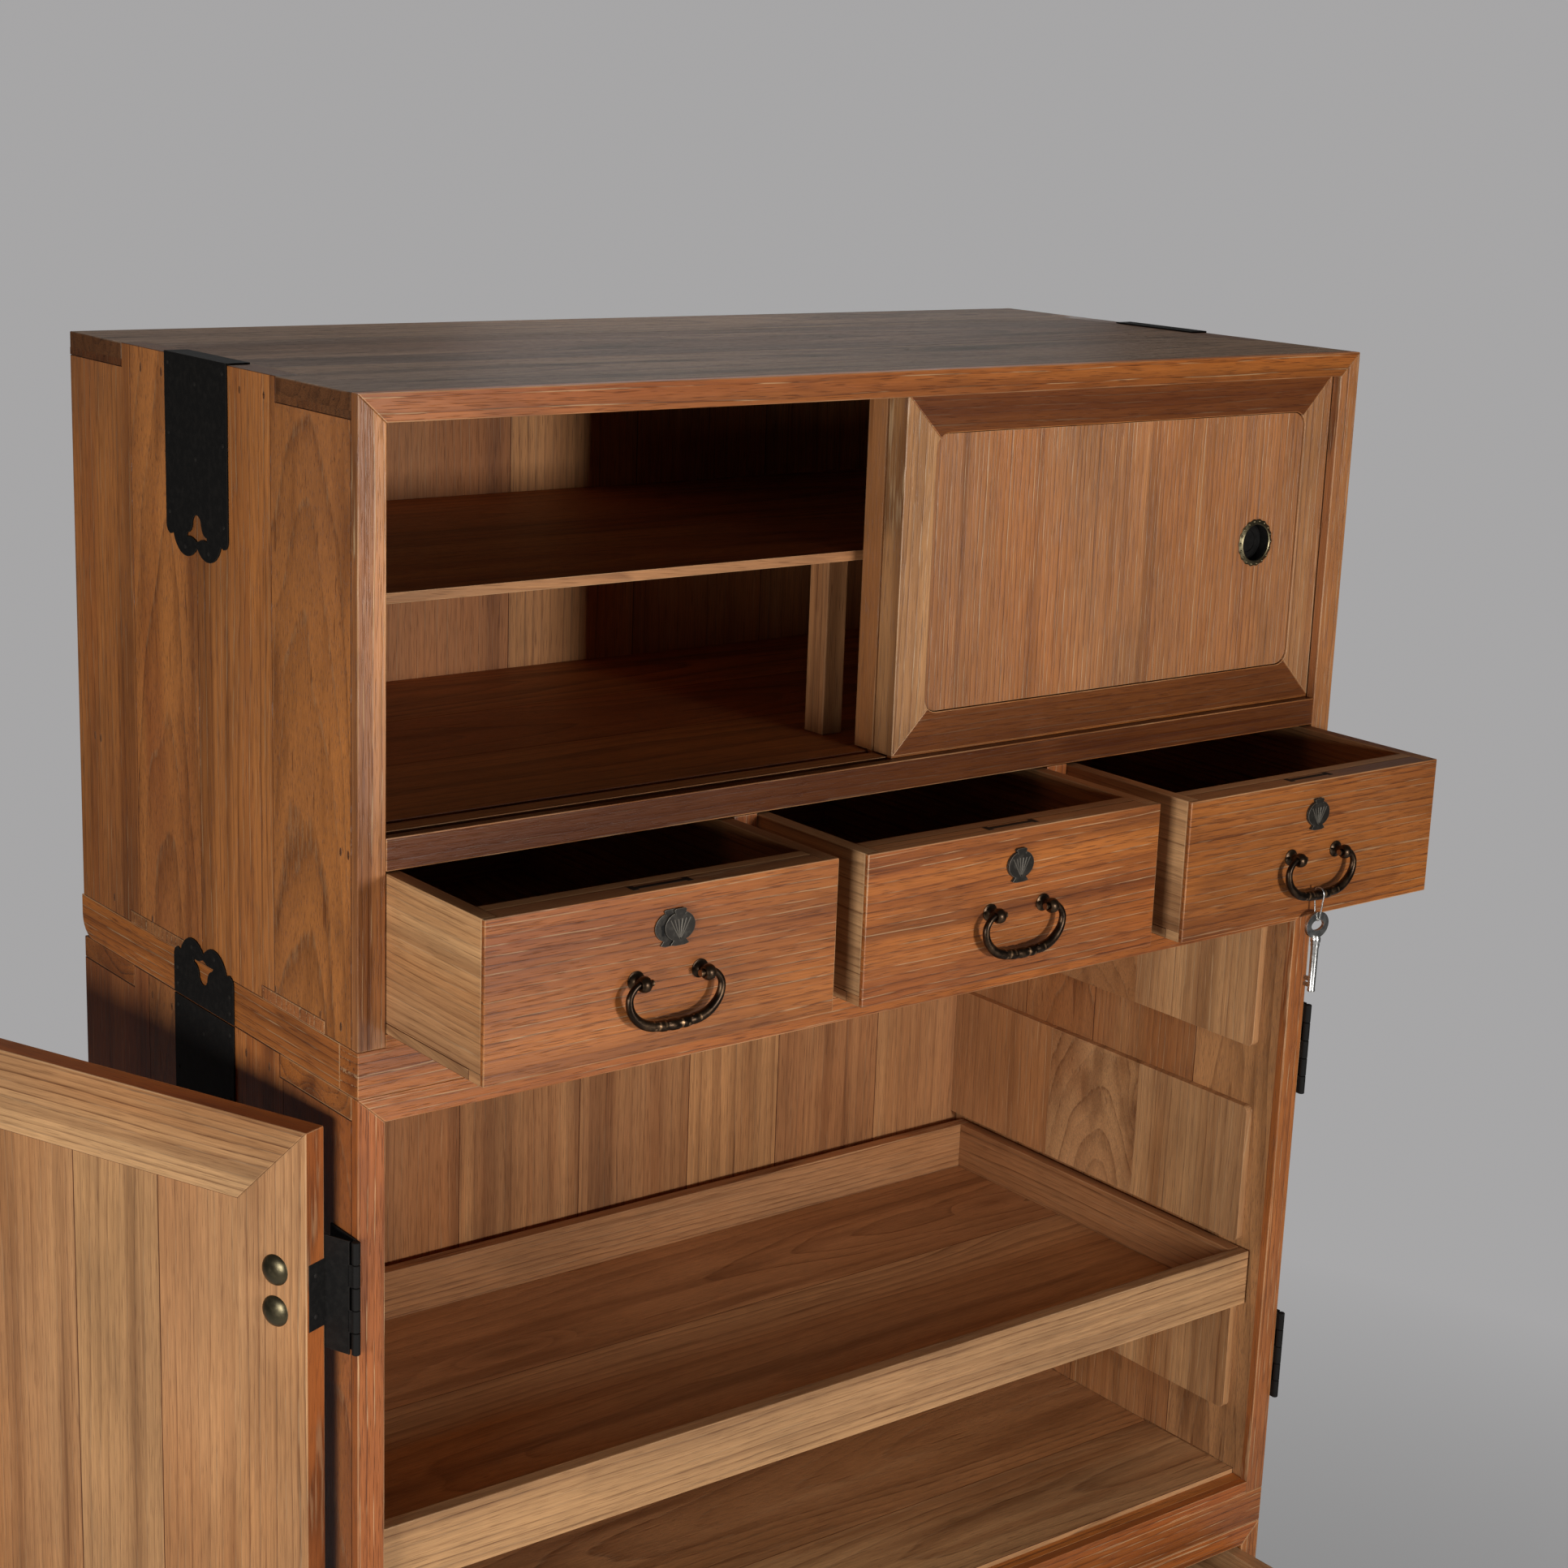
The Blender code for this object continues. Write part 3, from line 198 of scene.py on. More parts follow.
# Rings in a metre of radius, for boards sawn across the rings and for boards sawn along them
RINGS_QUARTER = 145.0
RINGS_FLAT = 85.0

# How far boards are stained: one is the full stain, and above one it turns to grime. Upright
# members are stained less than the rails, so paler: a painted sheen
STILE_SHEEN_STAIN = {"upper": 0.68, "middle": 0.90}
SIDE_STAIN = 0.86
SIDE_INNER_STAIN = 0.35
SIDE_END_GRIME = 1.85
SLIDER_STILE_SHEEN_STAIN = 0.38
SLIDER_PANEL_STAIN = 0.52
DRAWER_BOX_STAIN = 0.06
LONG_BOX_STAIN = 0.10
TRAY_STAIN = 0.16

# How far boards are darkened: on the mid rail and the sliding doors' rails, the darkest, this is painted
# shade; the base rail and the drawer fronts are darkened less
BASE_RAIL_DARKENING = 0.12
MID_RAIL_SHADE = 0.95
SLIDER_RAIL_SHADE = 0.85
DRAWER_DARKENING = {"left": 0.14, "middle": 0.06, "right": 0.31}

# Places read from the frame
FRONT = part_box("upper_face_frame")[0].y
FACE_BACK = FRONT + FACE_T
CARCASS_FRONT = FACE_BACK + SEAT
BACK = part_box("upper_back")[1].y
INNER_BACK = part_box("upper_back")[0].y
HALF_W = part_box("upper_face_frame")[1].x
OPENING_X = HALF_W - STILE_W
INNER_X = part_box("upper_right_side")[0].x
UPPER_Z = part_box("upper_bottom_board")[0].z
UPPER_FLOOR_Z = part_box("upper_bottom_board")[1].z
TOP_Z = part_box("upper_face_frame")[1].z
MIDDLE_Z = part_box("middle_bottom_board")[0].z
MIDDLE_FLOOR_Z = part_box("middle_bottom_board")[1].z
MIDDLE_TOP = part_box("middle_face_frame")[1].z
LOWER_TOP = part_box("lower_case")[1].z
MID_RAIL_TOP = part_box("compartment_floor")[1].z
MID_RAIL_BOTTOM = MID_RAIL_TOP - MID_RAIL_H
WHOLE = (-HALF_W, HALF_W)
OPENING = (-OPENING_X, OPENING_X)
INSIDE = (SEAT - INNER_X, INNER_X - SEAT)
FACE = (FRONT, FACE_BACK)
TOP_FINGER = (FRONT + TOP_FRONT_TONGUE_L, BACK - TOP_BACK_TONGUE_L)


class Look:
    """A node material under construction: each call adds a node and returns one of its outputs."""

    def __init__(self, name, metallic=0.0, specular=0.3):
        self.material = bpy.data.materials.new(name)
        self.material.use_nodes = True
        self.tree = self.material.node_tree
        self.shader = self.tree.nodes["Principled BSDF"]
        self.shader.inputs["Metallic"].default_value = metallic
        self.shader.inputs["Specular IOR Level"].default_value = specular

    def put(self, socket, value):
        """Give an input a value, or join it to another node's output."""
        if isinstance(value, bpy.types.NodeSocket):
            self.tree.links.new(value, socket)
        else:
            socket.default_value = value

    def node(self, kind, *inputs, output=0, settings=(), **named):
        """A node with its inputs given in order, by name, or both."""
        made = self.tree.nodes.new(f"ShaderNode{kind}")
        for name, value in dict(settings).items():
            setattr(made, name, value)
        for socket, value in zip(made.inputs, inputs):
            self.put(socket, value)
        for name, value in named.items():
            self.put(made.inputs[name], value)
        return made.outputs[output]

    def attribute(self, name, output="Vector"):
        return self.node("Attribute", output=output, settings={"attribute_name": name})

    def parts(self, vector):
        """The three numbers of a vector."""
        split = self.tree.nodes.new("ShaderNodeSeparateXYZ")
        self.put(split.inputs[0], vector)
        return split.outputs

    def math(self, operation, *values):
        return self.node("Math", *values, settings={"operation": operation})

    def times(self, first, second):
        return self.math("MULTIPLY", first, second)

    def scaled(self, value, gain, offset):
        """A value times a gain, plus an offset."""
        return self.math("MULTIPLY_ADD", value, gain, offset)

    def stretch(self, vector, scale):
        return self.node("VectorMath", vector, scale, settings={"operation": "MULTIPLY"})

    def length(self, vector):
        return self.node("VectorMath", vector, output="Value", settings={"operation": "LENGTH"})

    def noise(self, vector, scale, detail=2.0, roughness=0.5):
        """Noise about 0.5, stretched by a scale for each direction."""
        where = self.stretch(vector, scale)
        return self.node("TexNoise", Vector=where, Scale=1.0, Detail=detail, Roughness=roughness)

    def ramp(self, factor, *stops):
        """A grey ramp through (place, value) stops."""
        made = self.tree.nodes.new("ShaderNodeValToRGB")
        self.put(made.inputs[0], factor)
        points = made.color_ramp.elements
        while len(points) < len(stops):
            points.new(0.5)
        for point, (where, value) in zip(points, stops):
            point.position = where
            point.color = (value, value, value, 1.0)
        return made.outputs[0]

    def mix(self, factor, first, second, blend="MIX"):
        made = self.tree.nodes.new("ShaderNodeMix")
        made.data_type = "RGBA"
        made.blend_type = blend
        self.put(made.inputs[0], factor)
        for socket, value in zip(made.inputs[6:8], (first, second)):
            self.put(socket, (*value, 1.0) if isinstance(value, tuple) else value)
        return made.outputs[2]

    def finish(self, colour, roughness, height, relief):
        """Join colour, roughness and bump to the shader."""
        self.put(self.shader.inputs["Base Color"], colour)
        self.put(self.shader.inputs["Roughness"], roughness)
        bump = self.node("Bump", Height=height, Distance=relief, Strength=1.0)
        self.put(self.shader.inputs["Normal"], bump)
        return self.material


def wood(name, stained, raw, relief, rough, raised=0.6, specular=0.4):
    """Paulownia: rings round a pith, knots, streaks, fibres, pores, checks and pale raised lines.

    Each of stained and raw gives the light, streaked, dark-line, raised-line and muted colours.
    The boards carry how far they are stained (above one, how grimy), how far they are worn (below
    zero, how far darkened: at a seam, and as painted shade on some rails), their tone, and how flat
    they were sawn.
    """
    look = Look(name, specular=specular)
    grain = look.attribute("grain")
    stain, wear_and_shade, tone = look.parts(look.attribute("finish"))
    flat = look.attribute("flat_sawn", "Fac")

    def noise(along, across, detail, roughness=0.5):
        return look.noise(grain, (along, across, across), detail, roughness)

    # Rings: distance from the pith, bent by slow noise and round the knots
    wander = look.math("SUBTRACT", noise(1.4, 5.5, 3.0), 0.5)
    ripple = look.math("SUBTRACT", noise(6.0, 40.0, 2.0), 0.5)
    radius = look.length(look.stretch(grain, (0.0, 1.0, 1.0)))
    radius = look.scaled(wander, look.scaled(flat, 0.045, 0.020), radius)
    radius = look.scaled(ripple, 0.004, radius)
    knots = look.stretch(grain, (2.2, 8.5, 8.5))
    knot = look.node("TexVoronoi", output="Distance", Vector=knots, Scale=1.0)
    knot = look.ramp(knot, (0.0, 1.0), (0.06, 0.75), (0.18, 0.22), (0.34, 0.0))
    knot = look.times(knot, flat)
    radius = look.scaled(knot, 0.035, radius)
    density = look.scaled(flat, RINGS_FLAT - RINGS_QUARTER, RINGS_QUARTER)
    spread = look.node("CombineXYZ", X=look.times(radius, 55.0), Y=tone)
    uneven = look.node("TexNoise", Vector=spread, Scale=1.0, Detail=2.0)
    turns = look.scaled(radius, density, look.times(uneven, 2.2))

    # The dark line of each ring, strong in some years and broken along the board
    phase = look.math("FRACT", turns)
    fine = look.ramp(phase, (0.0, 0.0), (0.52, 0.06), (0.78, 0.40), (0.88, 1.0), (0.96, 1.0), (1.0, 0.0))
    broad = look.ramp(phase, (0.0, 0.0), (0.40, 0.10), (0.76, 0.45), (0.93, 1.0), (1.0, 0.0))
    line = look.mix(flat, fine, broad)
    year = look.node("CombineXYZ", X=look.math("FLOOR", turns), Y=tone)
    strong = look.node("TexWhiteNoise", output="Value", settings={"noise_dimensions": "3D"}, Vector=year)
    line = look.times(line, look.scaled(strong, 0.70, 0.30))
    line = look.times(line, look.ramp(noise(16.0, 420.0, 2.0), (0.36, 0.55), (0.58, 1.0)))

    # Raised pale dashes, fibres, pores, checks and the slow changes of colour
    crest = look.ramp(phase, (0.84, 0.0), (0.90, 1.0), (0.96, 1.0), (1.0, 0.0))
    crest = look.times(crest, look.ramp(noise(20.0, 340.0, 2.0), (0.47, 0.0), (0.58, 1.0)))
    crest = look.times(crest, look.scaled(flat, -0.70, 1.0))
    fibre = noise(20.0, 780.0, 3.0, 0.65)
    streak = noise(0.8, 18.0, 3.0, 0.6)
    band = look.ramp(noise(0.5, 36.0, 2.0), (0.53, 0.0), (0.68, 1.0))
    pores = look.ramp(noise(45.0, 1400.0, 1.0), (0.59, 0.0), (0.70, 1.0))
    blot = noise(4.0, 9.0, 3.0, 0.6)
    cloud = look.ramp(noise(2.0, 6.0, 3.0, 0.55), (0.40, 0.0), (0.66, 1.0))
    smudge = look.ramp(noise(7.0, 26.0, 3.0, 0.6), (0.60, 0.0), (0.76, 1.0))
    check = look.ramp(noise(1.6, 150.0, 1.0), (0.70, 0.0), (0.74, 1.0))
    lined = look.times(line, look.ramp(flat, (0.0, 0.80), (0.35, 0.55), (1.0, 0.80)))
    lined = look.times(lined, look.scaled(streak, 1.2, 0.45))

    def palette(colours, banding, smudging):
        light, streaked, dark, pale, muted = colours
        shift = look.scaled(tone, 0.90, -0.45)
        change = look.ramp(look.math("ADD", streak, shift), (0.38, 0.0), (0.62, 1.0))
        made = look.mix(change, light, streaked)
        made = look.mix(look.times(cloud, 0.60), made, muted)
        made = look.mix(look.times(band, banding), made, dark)
        made = look.mix(look.times(smudge, smudging), made, dark)
        made = look.mix(lined, made, dark)
        made = look.mix(look.times(look.times(knot, knot), 0.8), made, dark)
        return look.mix(look.times(crest, raised), made, pale)

    colour = look.mix(stain, palette(raw, 0.50, 0.14), palette(stained, 0.45, 0.45))
    shade = look.scaled(fibre, 0.8, 0.60)
    shade = look.times(shade, look.scaled(blot, 0.90, 0.56))
    shade = look.times(shade, look.scaled(tone, 0.50, 0.75))
    colour = look.mix(1.0, colour, look.node("CombineColor", shade, shade, shade), "MULTIPLY")
    sunk = look.times(look.math("MAXIMUM", pores, check), look.scaled(stain, 0.35, 0.25))
    colour = look.mix(sunk, colour, stained[2])
    rubbed = look.times(wear_and_shade, look.ramp(blot, (0.42, 0.05), (0.62, 0.55)))
    colour = look.mix(rubbed, colour, stained[3])
    # Below zero the colour darkens: at seams, and as painted shade on the mid rail and the sliding doors'
    # rails
    colour = look.mix(look.times(wear_and_shade, -0.85), colour, stained[2])
    colour = look.mix(look.math("SUBTRACT", stain, 1.0), colour, GRIME)

    height = look.scaled(line, -0.45, look.times(fibre, 0.5))
    height = look.math("SUBTRACT", height, look.times(pores, 0.35))
    height = look.math("SUBTRACT", height, look.times(check, 0.60))
    height = look.scaled(crest, 0.40, height)
    return look.finish(colour, look.scaled(fibre, 0.20, rough - 0.10), height, relief)


def metal(name, dark, light, rough, relief, metallic=1.0, specular=0.5, speckle=180.0):
    """Cast or beaten metal: cloudy patina, fine pits and edges rubbed to a lighter colour."""
    look = Look(name, metallic, specular)
    where = look.attribute("grain")
    bright, wear_and_shade, _ = look.parts(look.attribute("finish"))
    cloud = look.noise(where, (speckle,) * 3, 4.0, 0.6)
    pits = look.noise(where, (speckle * 6,) * 3)
    amount = look.times(look.ramp(cloud, (0.45, 0.0), (0.75, 1.0)), 0.35)
    amount = look.math("MAXIMUM", amount, look.times(wear_and_shade, 0.8))
    amount = look.math("MAXIMUM", amount, bright)
    height = look.scaled(pits, 0.4, look.times(cloud, 0.6))
    return look.finish(look.mix(amount, dark, light), look.scaled(cloud, 0.30, rough - 0.15), height, relief)


GRIME = (0.085, 0.055, 0.038)
STAINED = ((0.57, 0.180, 0.031), (0.345, 0.089, 0.015), (0.085, 0.019, 0.004), (0.66, 0.40, 0.20),
           (0.34, 0.115, 0.033))
RAW = ((0.70, 0.400, 0.180), (0.46, 0.215, 0.082), (0.165, 0.060, 0.020), (0.72, 0.48, 0.26),
       (0.52, 0.285, 0.135))
WEATHERED = ((0.310, 0.190, 0.118), (0.150, 0.084, 0.050), (0.030, 0.018, 0.012), (0.36, 0.25, 0.17),
             (0.160, 0.110, 0.082))
ENDS = ((0.22, 0.080, 0.025), (0.16, 0.052, 0.016), (0.05, 0.016, 0.006), (0.28, 0.14, 0.06),
        (0.17, 0.070, 0.028))

LOOKS = {
    "face_wood": wood("face_wood", STAINED, RAW, 0.0004, 0.37, specular=0.45),
    "pale_wood": wood("pale_wood", STAINED, RAW, 0.0003, 0.56, raised=0.25, specular=0.3),
    "weathered_wood": wood("weathered_wood", WEATHERED, ENDS, 0.0010, 0.50, raised=0.4, specular=0.2),
    "iron": metal("iron", (0.009, 0.0082, 0.0075), (0.030, 0.026, 0.022), 0.60, 0.00012, 0.0, 0.12),
    "pewter": metal("pewter", (0.024, 0.020, 0.016), (0.14, 0.122, 0.098), 0.45, 0.00010, 0.5, 0.3),
    "bronze": metal("bronze", (0.034, 0.022, 0.015), (0.36, 0.21, 0.11), 0.36, 0.00003, speckle=90.0),
    "brass": metal("brass", (0.10, 0.085, 0.050), (0.45, 0.35, 0.19), 0.36, 0.00010),
    "nickel": metal("nickel", (0.42, 0.41, 0.39), (0.80, 0.78, 0.74), 0.28, 0.00004),
}


def inset(limits, by):
    """A pair of limits drawn in at both ends."""
    return limits[0] + by, limits[1] - by


def mirrored(sign, near, far):
    """Limits in X of something on one side of the chest."""
    return sorted((sign * near, sign * far))


def rectangle(u, v):
    return [(u[0], v[0]), (u[1], v[0]), (u[1], v[1]), (u[0], v[1])]


def quarter(u, v, radius, first, steps=6):
    """Points of a quarter circle about a centre, from an angle given in half turns."""
    if radius == 0.0:
        return [(u, v)]
    angles = [math.pi * (first + step / (2 * steps)) for step in range(steps + 1)]
    return [(u + radius * math.cos(angle), v + radius * math.sin(angle)) for angle in angles]


def round_corners(x, z, radius):
    """The corners of a rectangle with round corners, each as its own list of points."""
    centres = rectangle(inset(x, radius), inset(z, radius))
    return [quarter(*centre, radius, 1 + index / 2) for index, centre in enumerate(centres)]


def oval(centre_u, centre_v, half_u, half_v, steps=36):
    turn = [2 * math.pi * step / steps for step in range(steps)]
    return [(centre_u + half_u * math.cos(a), centre_v + half_v * math.sin(a)) for a in turn]


def arc(through, steps=10):
    """Points of the circular arc through three points, both ends included."""
    (ax, ay), (bx, by), (cx, cy) = through
    twice = 2 * (ax * (by - cy) + bx * (cy - ay) + cx * (ay - by))
    a2, b2, c2 = ax * ax + ay * ay, bx * bx + by * by, cx * cx + cy * cy
    ox = (a2 * (by - cy) + b2 * (cy - ay) + c2 * (ay - by)) / twice
    oy = (a2 * (cx - bx) + b2 * (ax - cx) + c2 * (bx - ax)) / twice
    radius = math.hypot(ax - ox, ay - oy)
    first = math.atan2(ay - oy, ax - ox)
    turn = (math.atan2(cy - oy, cx - ox) - first) % (2 * math.pi)
    half = (math.atan2(by - oy, bx - ox) - first) % (2 * math.pi)
    if half > turn:
        turn -= 2 * math.pi
    angles = [first + turn * step / steps for step in range(steps + 1)]
    return [(ox + radius * math.cos(angle), oy + radius * math.sin(angle)) for angle in angles]


def both_halves(right):
    """A closed outline from its right half, which starts and ends off the middle line."""
    return right + [(-u, v) for u, v in reversed(right)]


def smooth_curve(anchors, steps):
    """A Catmull-Rom curve through anchor points, with equal steps between neighbours."""
    points = []
    for i in range(len(anchors) - 1):
        p1, p2 = anchors[i], anchors[i + 1]
        p0 = anchors[i - 1] if i > 0 else p1 * 2 - p2
        p3 = anchors[i + 2] if i + 2 < len(anchors) else p2 * 2 - p1
        for step in range(steps):
            t = step / steps
            bend = (p2 - p0) * t + (p0 * 2 - p1 * 5 + p2 * 4 - p3) * t * t
            points.append((p1 * 2 + bend + (p1 * 3 - p0 - p2 * 3 + p3) * t * t * t) / 2)
    points.append(anchors[-1])
    return points


def place(axis, u, v, depth):
    """A point of a flat outline that is drawn out along one axis."""
    return {"X": (depth, u, v), "Y": (u, depth, v), "Z": (u, v, depth)}[axis]


def prism(outline, axis, low, high, holes=()):
    """A closed solid of a flat outline, with holes through it where they are given."""
    bm = bmesh.new()
    loops = [outline, *holes]
    rings = []
    for loop in loops:
        rings.append([[bm.verts.new(place(axis, u, v, depth)) for u, v in loop] for depth in (low, high)])
    for bottom, top in rings:
        for i, corner in enumerate(bottom):
            j = (i + 1) % len(bottom)
            bm.faces.new((corner, bottom[j], top[j], top[i]))
    if holes:
        flat = [[Vector((u, v, 0.0)) for u, v in loop] for loop in loops]
        triangles = tessellate_polygon(flat)
        for level in (0, 1):
            corners = [corner for ring in rings for corner in ring[level]]
            for triangle in triangles:
                bm.faces.new([corners[i] for i in triangle])
    else:
        bm.faces.new(rings[0][0])
        bm.faces.new(rings[0][1])
    bmesh.ops.recalc_face_normals(bm, faces=bm.faces)
    return bm


def soften(bm, width, spare=None):
    """Round the convex edges of a solid, bar those at the height spare, and return the new faces."""
    sharp = [edge for edge in bm.edges if edge.is_manifold and edge.calc_face_angle_signed() > 0.5]
    if spare is not None:
        sharp = [edge for edge in sharp if any(abs(vert.co.z - spare) > 1e-6 for vert in edge.verts)]
    if not sharp or width <= 0:
        return set()
    done = bmesh.ops.bevel(
        bm, geom=sharp, offset=width, offset_type="OFFSET", segments=2, profile=0.6,
        affect="EDGES", clamp_overlap=True,
    )
    return set(done["faces"])


def skin(bm, rings, sides, closed):
    """Join each ring of corners to the next, where a ring of one corner is a tip."""
    pairs = list(zip(rings, rings[1:]))
    if closed:
        pairs.append((rings[-1], rings[0]))
    for a, b in pairs:
        for i in range(sides):
            j = (i + 1) % sides
            corners = [a[i % len(a)], a[j % len(a)], b[j % len(b)], b[i % len(b)]]
            bm.faces.new(list(dict.fromkeys(corners)))
    bmesh.ops.recalc_face_normals(bm, faces=bm.faces)
    return bm


def turned(profile, axis, centre, sides, closed=False, ripple=None):
    """A round solid of (radius, place along the axis) points; ripple adds to a radius at an angle."""
    bm = bmesh.new()
    rings = []
    for index, (radius, along) in enumerate(profile):
        ring = []
        for step in range(1 if radius == 0.0 else sides):
            angle = 2 * math.pi * step / sides
            reach = radius + (ripple(angle, index) if ripple else 0.0)
            point = place(axis, reach * math.cos(angle), reach * math.sin(angle), along)
            ring.append(bm.verts.new(Vector(centre) + Vector(point)))
        rings.append(ring)
    return skin(bm, rings, sides, closed)


def tube(points, radius, sides, closed=False):
    """A bar along points; radius is a number, or a function of a point's index and an angle."""
    bm = bmesh.new()
    count = len(points)
    rings = []
    normal = None
    for i, point in enumerate(points):
        before = points[i - 1] if closed or i > 0 else point
        after = points[(i + 1) % count] if closed or i < count - 1 else point
        tangent = (after - before).normalized()
        if normal is None:
            normal = tangent.cross(Vector((0, 1, 0)) if abs(tangent.y) < 0.9 else Vector((1, 0, 0)))
        normal = (normal - tangent * normal.dot(tangent)).normalized()
        across = tangent.cross(normal)
        ring = []
        for step in range(sides):
            angle = 2 * math.pi * step / sides
            spoke = normal * math.cos(angle) + across * math.sin(angle)
            ring.append(bm.verts.new(point + spoke * (radius(i, angle) if callable(radius) else radius)))
        rings.append(ring)
    if not closed:
        bm.faces.new(rings[0])
        bm.faces.new(rings[-1])
    return skin(bm, rings, sides, closed)


def plank_spans(limits, count, dice):
    """Split a width into planks of unlike widths."""
    low, high = sorted(limits)
    shares = [dice.uniform(0.75, 1.3) for _ in range(count)]
    unit = (high - low) / sum(shares)
    spans = []
    for share in shares:
        spans.append((low, low + share * unit))
        low += share * unit
    return spans


def facing(axis, sign, outer, inner):
    """A stain for boards with one finished face: outer on the faces that look that way."""
    index = "XYZ".index(axis)
    return lambda normal: outer if normal[index] * sign > 0.3 else inner


class Piece:
    """Solids gathered into one mesh, with the grain and the finish of each corner."""

    def __init__(self, name, look, body="case", turn=None):
        self.name = name
        self.look = look
        self.body = body
        self.turn = turn or Matrix.Identity(4)
        self.dice = random.Random(name)
        self.points = []
        self.faces = []
        self.grain = []
        self.finish = []
        self.flat_sawn = []
        self.smooth = []

    def add(self, bm, grain=None, stain=0.0, worn=(), smooth=False, flat=0.0, seam=False, aged=0.0):
        """Take in a closed solid. stain is a number, or a function of a face's normal.

        Worn faces are rubbed pale, or where the solid meets its neighbours in a seam, dark. The
        other faces are darkened as far as given: painted shade on the mid rail and the sliding doors' rails.
        """
        tone = self.dice.uniform(0.2, 0.8)
        base = len(self.points)
        bm.verts.index_update()
        self.points += [vert.co.copy() for vert in bm.verts]
        for face in bm.faces:
            amount = stain(face.normal) if callable(stain) else stain
            wear_and_shade = (-1.0 if seam else 1.0) if face in worn else -aged
            self.faces.append([base + vert.index for vert in face.verts])
            self.smooth.append(smooth)
            for vert in face.verts:
                self.grain.append(grain(vert.co) if grain else vert.co.copy())
                self.finish.append((amount, wear_and_shade, tone))
                self.flat_sawn.append(flat)
        bm.free()

    def drawn(self, outline, axis, low, high, along, cut="quarter", edge=EDGE, stain=1.0,
              holes=(), spare=None, seam=False, aged=0.0, fine=1.0):
        """A board of a flat outline. along is the way of its grain; cut is how it was sawn."""
        bm = prism(outline, axis, low, high, holes)
        corners = [vert.co for vert in bm.verts]
        lows = [min(corner[i] for corner in corners) for i in range(3)]
        highs = [max(corner[i] for corner in corners) for i in range(3)]
        long = "XYZ".index(along)
        wide, thick = sorted((i for i in range(3) if i != long), key=lambda i: lows[i] - highs[i])
        middle = [(a + b) / 2 for a, b in zip(lows, highs)]
        shift = self.dice.uniform(0.0, 9.0)
        far, near = self.dice.uniform(0.22, 0.40), self.dice.uniform(0.035, 0.065)
        aside = self.dice.uniform(-0.02, 0.02)
        sign = self.dice.choice((-1, 1))
        piths = {
            "quarter": (sign * far, aside),
            "rift": (sign * far / 2, near),
            "flat": (aside, sign * near),
        }
        pith_wide, pith_deep = piths[cut]
        lean = self.dice.uniform(0.4, 0.8) * self.dice.choice((-1, 1))
        tilt = lean * near / ((highs[long] - lows[long]) / 2) if cut == "flat" else 0.0

        def grain(point):
            from_middle = [point[i] - middle[i] for i in range(3)]
            depth = from_middle[thick] + pith_deep + tilt * from_middle[long]
            return (point[long] + shift, (from_middle[wide] + pith_wide) * fine, depth * fine)

        worn = soften(bm, edge, spare)
        self.add(bm, grain, stain, worn, flat=FLATNESS[cut], seam=seam, aged=aged)

    def slab(self, x, y, z, along, cut="quarter", edge=EDGE, stain=1.0, seam=False, aged=0.0):
        """A rectangular board between pairs of limits."""
        outline = rectangle(sorted(x), sorted(y))
        self.drawn(outline, "Z", *sorted(z), along, cut, edge, stain, seam=seam, aged=aged)

    def planks(self, x, y, z, along, across, count, cut="flat", stain=1.0, seam=True):
        """A panel glued up from planks of unlike widths, side by side along one axis."""
        limits = {"X": x, "Y": y, "Z": z}
        for span in plank_spans(limits[across], count, self.dice):
            limits[across] = span
            self.slab(limits["X"], limits["Y"], limits["Z"], along, cut, SEAM_EDGE, stain, seam)

    def plate(self, outline, axis, low, high, edge=PLATE_EDGE, stain=0.0, holes=()):
        """A metal plate of a flat outline, bright along its edges."""
        bm = prism(outline, axis, low, high, holes)
        worn = soften(bm, edge)
        self.add(bm, stain=stain, worn=worn)

    def sheet(self, x, y, z):
        """A rectangle of sheet metal."""
        self.plate(rectangle(x, y), "Z", *z, SHEET_EDGE)

    def lathe(self, profile, axis, centre, sides, stain, **how):
        """A smooth turned solid of metal."""
        self.add(turned(profile, axis, centre, sides, **how), stain=stain, smooth=True)

    def nail(self, axis, sign, head, radius):
        """A low domed nail head on a surface that looks along one axis."""
        profile = [(0.0, 0.35), (0.5, 0.30), (0.85, 0.15), (1.0, 0.0), (0.0, 0.0)]
        self.lathe([(r * radius, sign * h * radius) for r, h in profile], axis, head, 12, 0.55)

    def done(self, slot, *nodes):
        """Make the object, give it its finish, and let it ride in place of the frame's nodes."""
        mesh = bpy.data.meshes.new(self.name)
        mesh.from_pydata([self.turn @ point for point in self.points], [], self.faces)
        for name, values in (("grain", self.grain), ("finish", self.finish)):
            layer = mesh.attributes.new(name, "FLOAT_VECTOR", "CORNER")
            layer.data.foreach_set("vector", [number for value in values for number in value])
        layer = mesh.attributes.new("flat_sawn", "FLOAT", "CORNER")
        layer.data.foreach_set("value", self.flat_sawn)
        mesh.set_sharp_from_angle(angle=math.radians(38))
        mesh.polygons.foreach_set("use_smooth", self.smooth)
        mesh.materials.append(LOOKS[self.look])
        made = bpy.data.objects.new(self.name, mesh)
        bpy.context.scene.collection.objects.link(made)
        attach(made, self.body)
        if nodes:
            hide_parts(*nodes)


def strip(low_steps, high_steps, start, end):
    """Outline of the part of a stepped board between two places; steps are (from, to, height)."""
    def chain(steps):
        points = []
        for first, last, height in steps:
            if last > start and first < end:
                points += [(max(first, start), height), (min(last, end), height)]
        return points

    return chain(low_steps) + list(reversed(chain(high_steps)))


def tongue_spans():
    """Where a bottom board's tongues pass through a side, front to back."""
    first = FRONT + BASE_FRONT_SHOULDER
    last = BACK - BASE_BACK_SHOULDER
    return [(first, first + BASE_TONGUE_L), (last - BASE_TONGUE_L, last)]


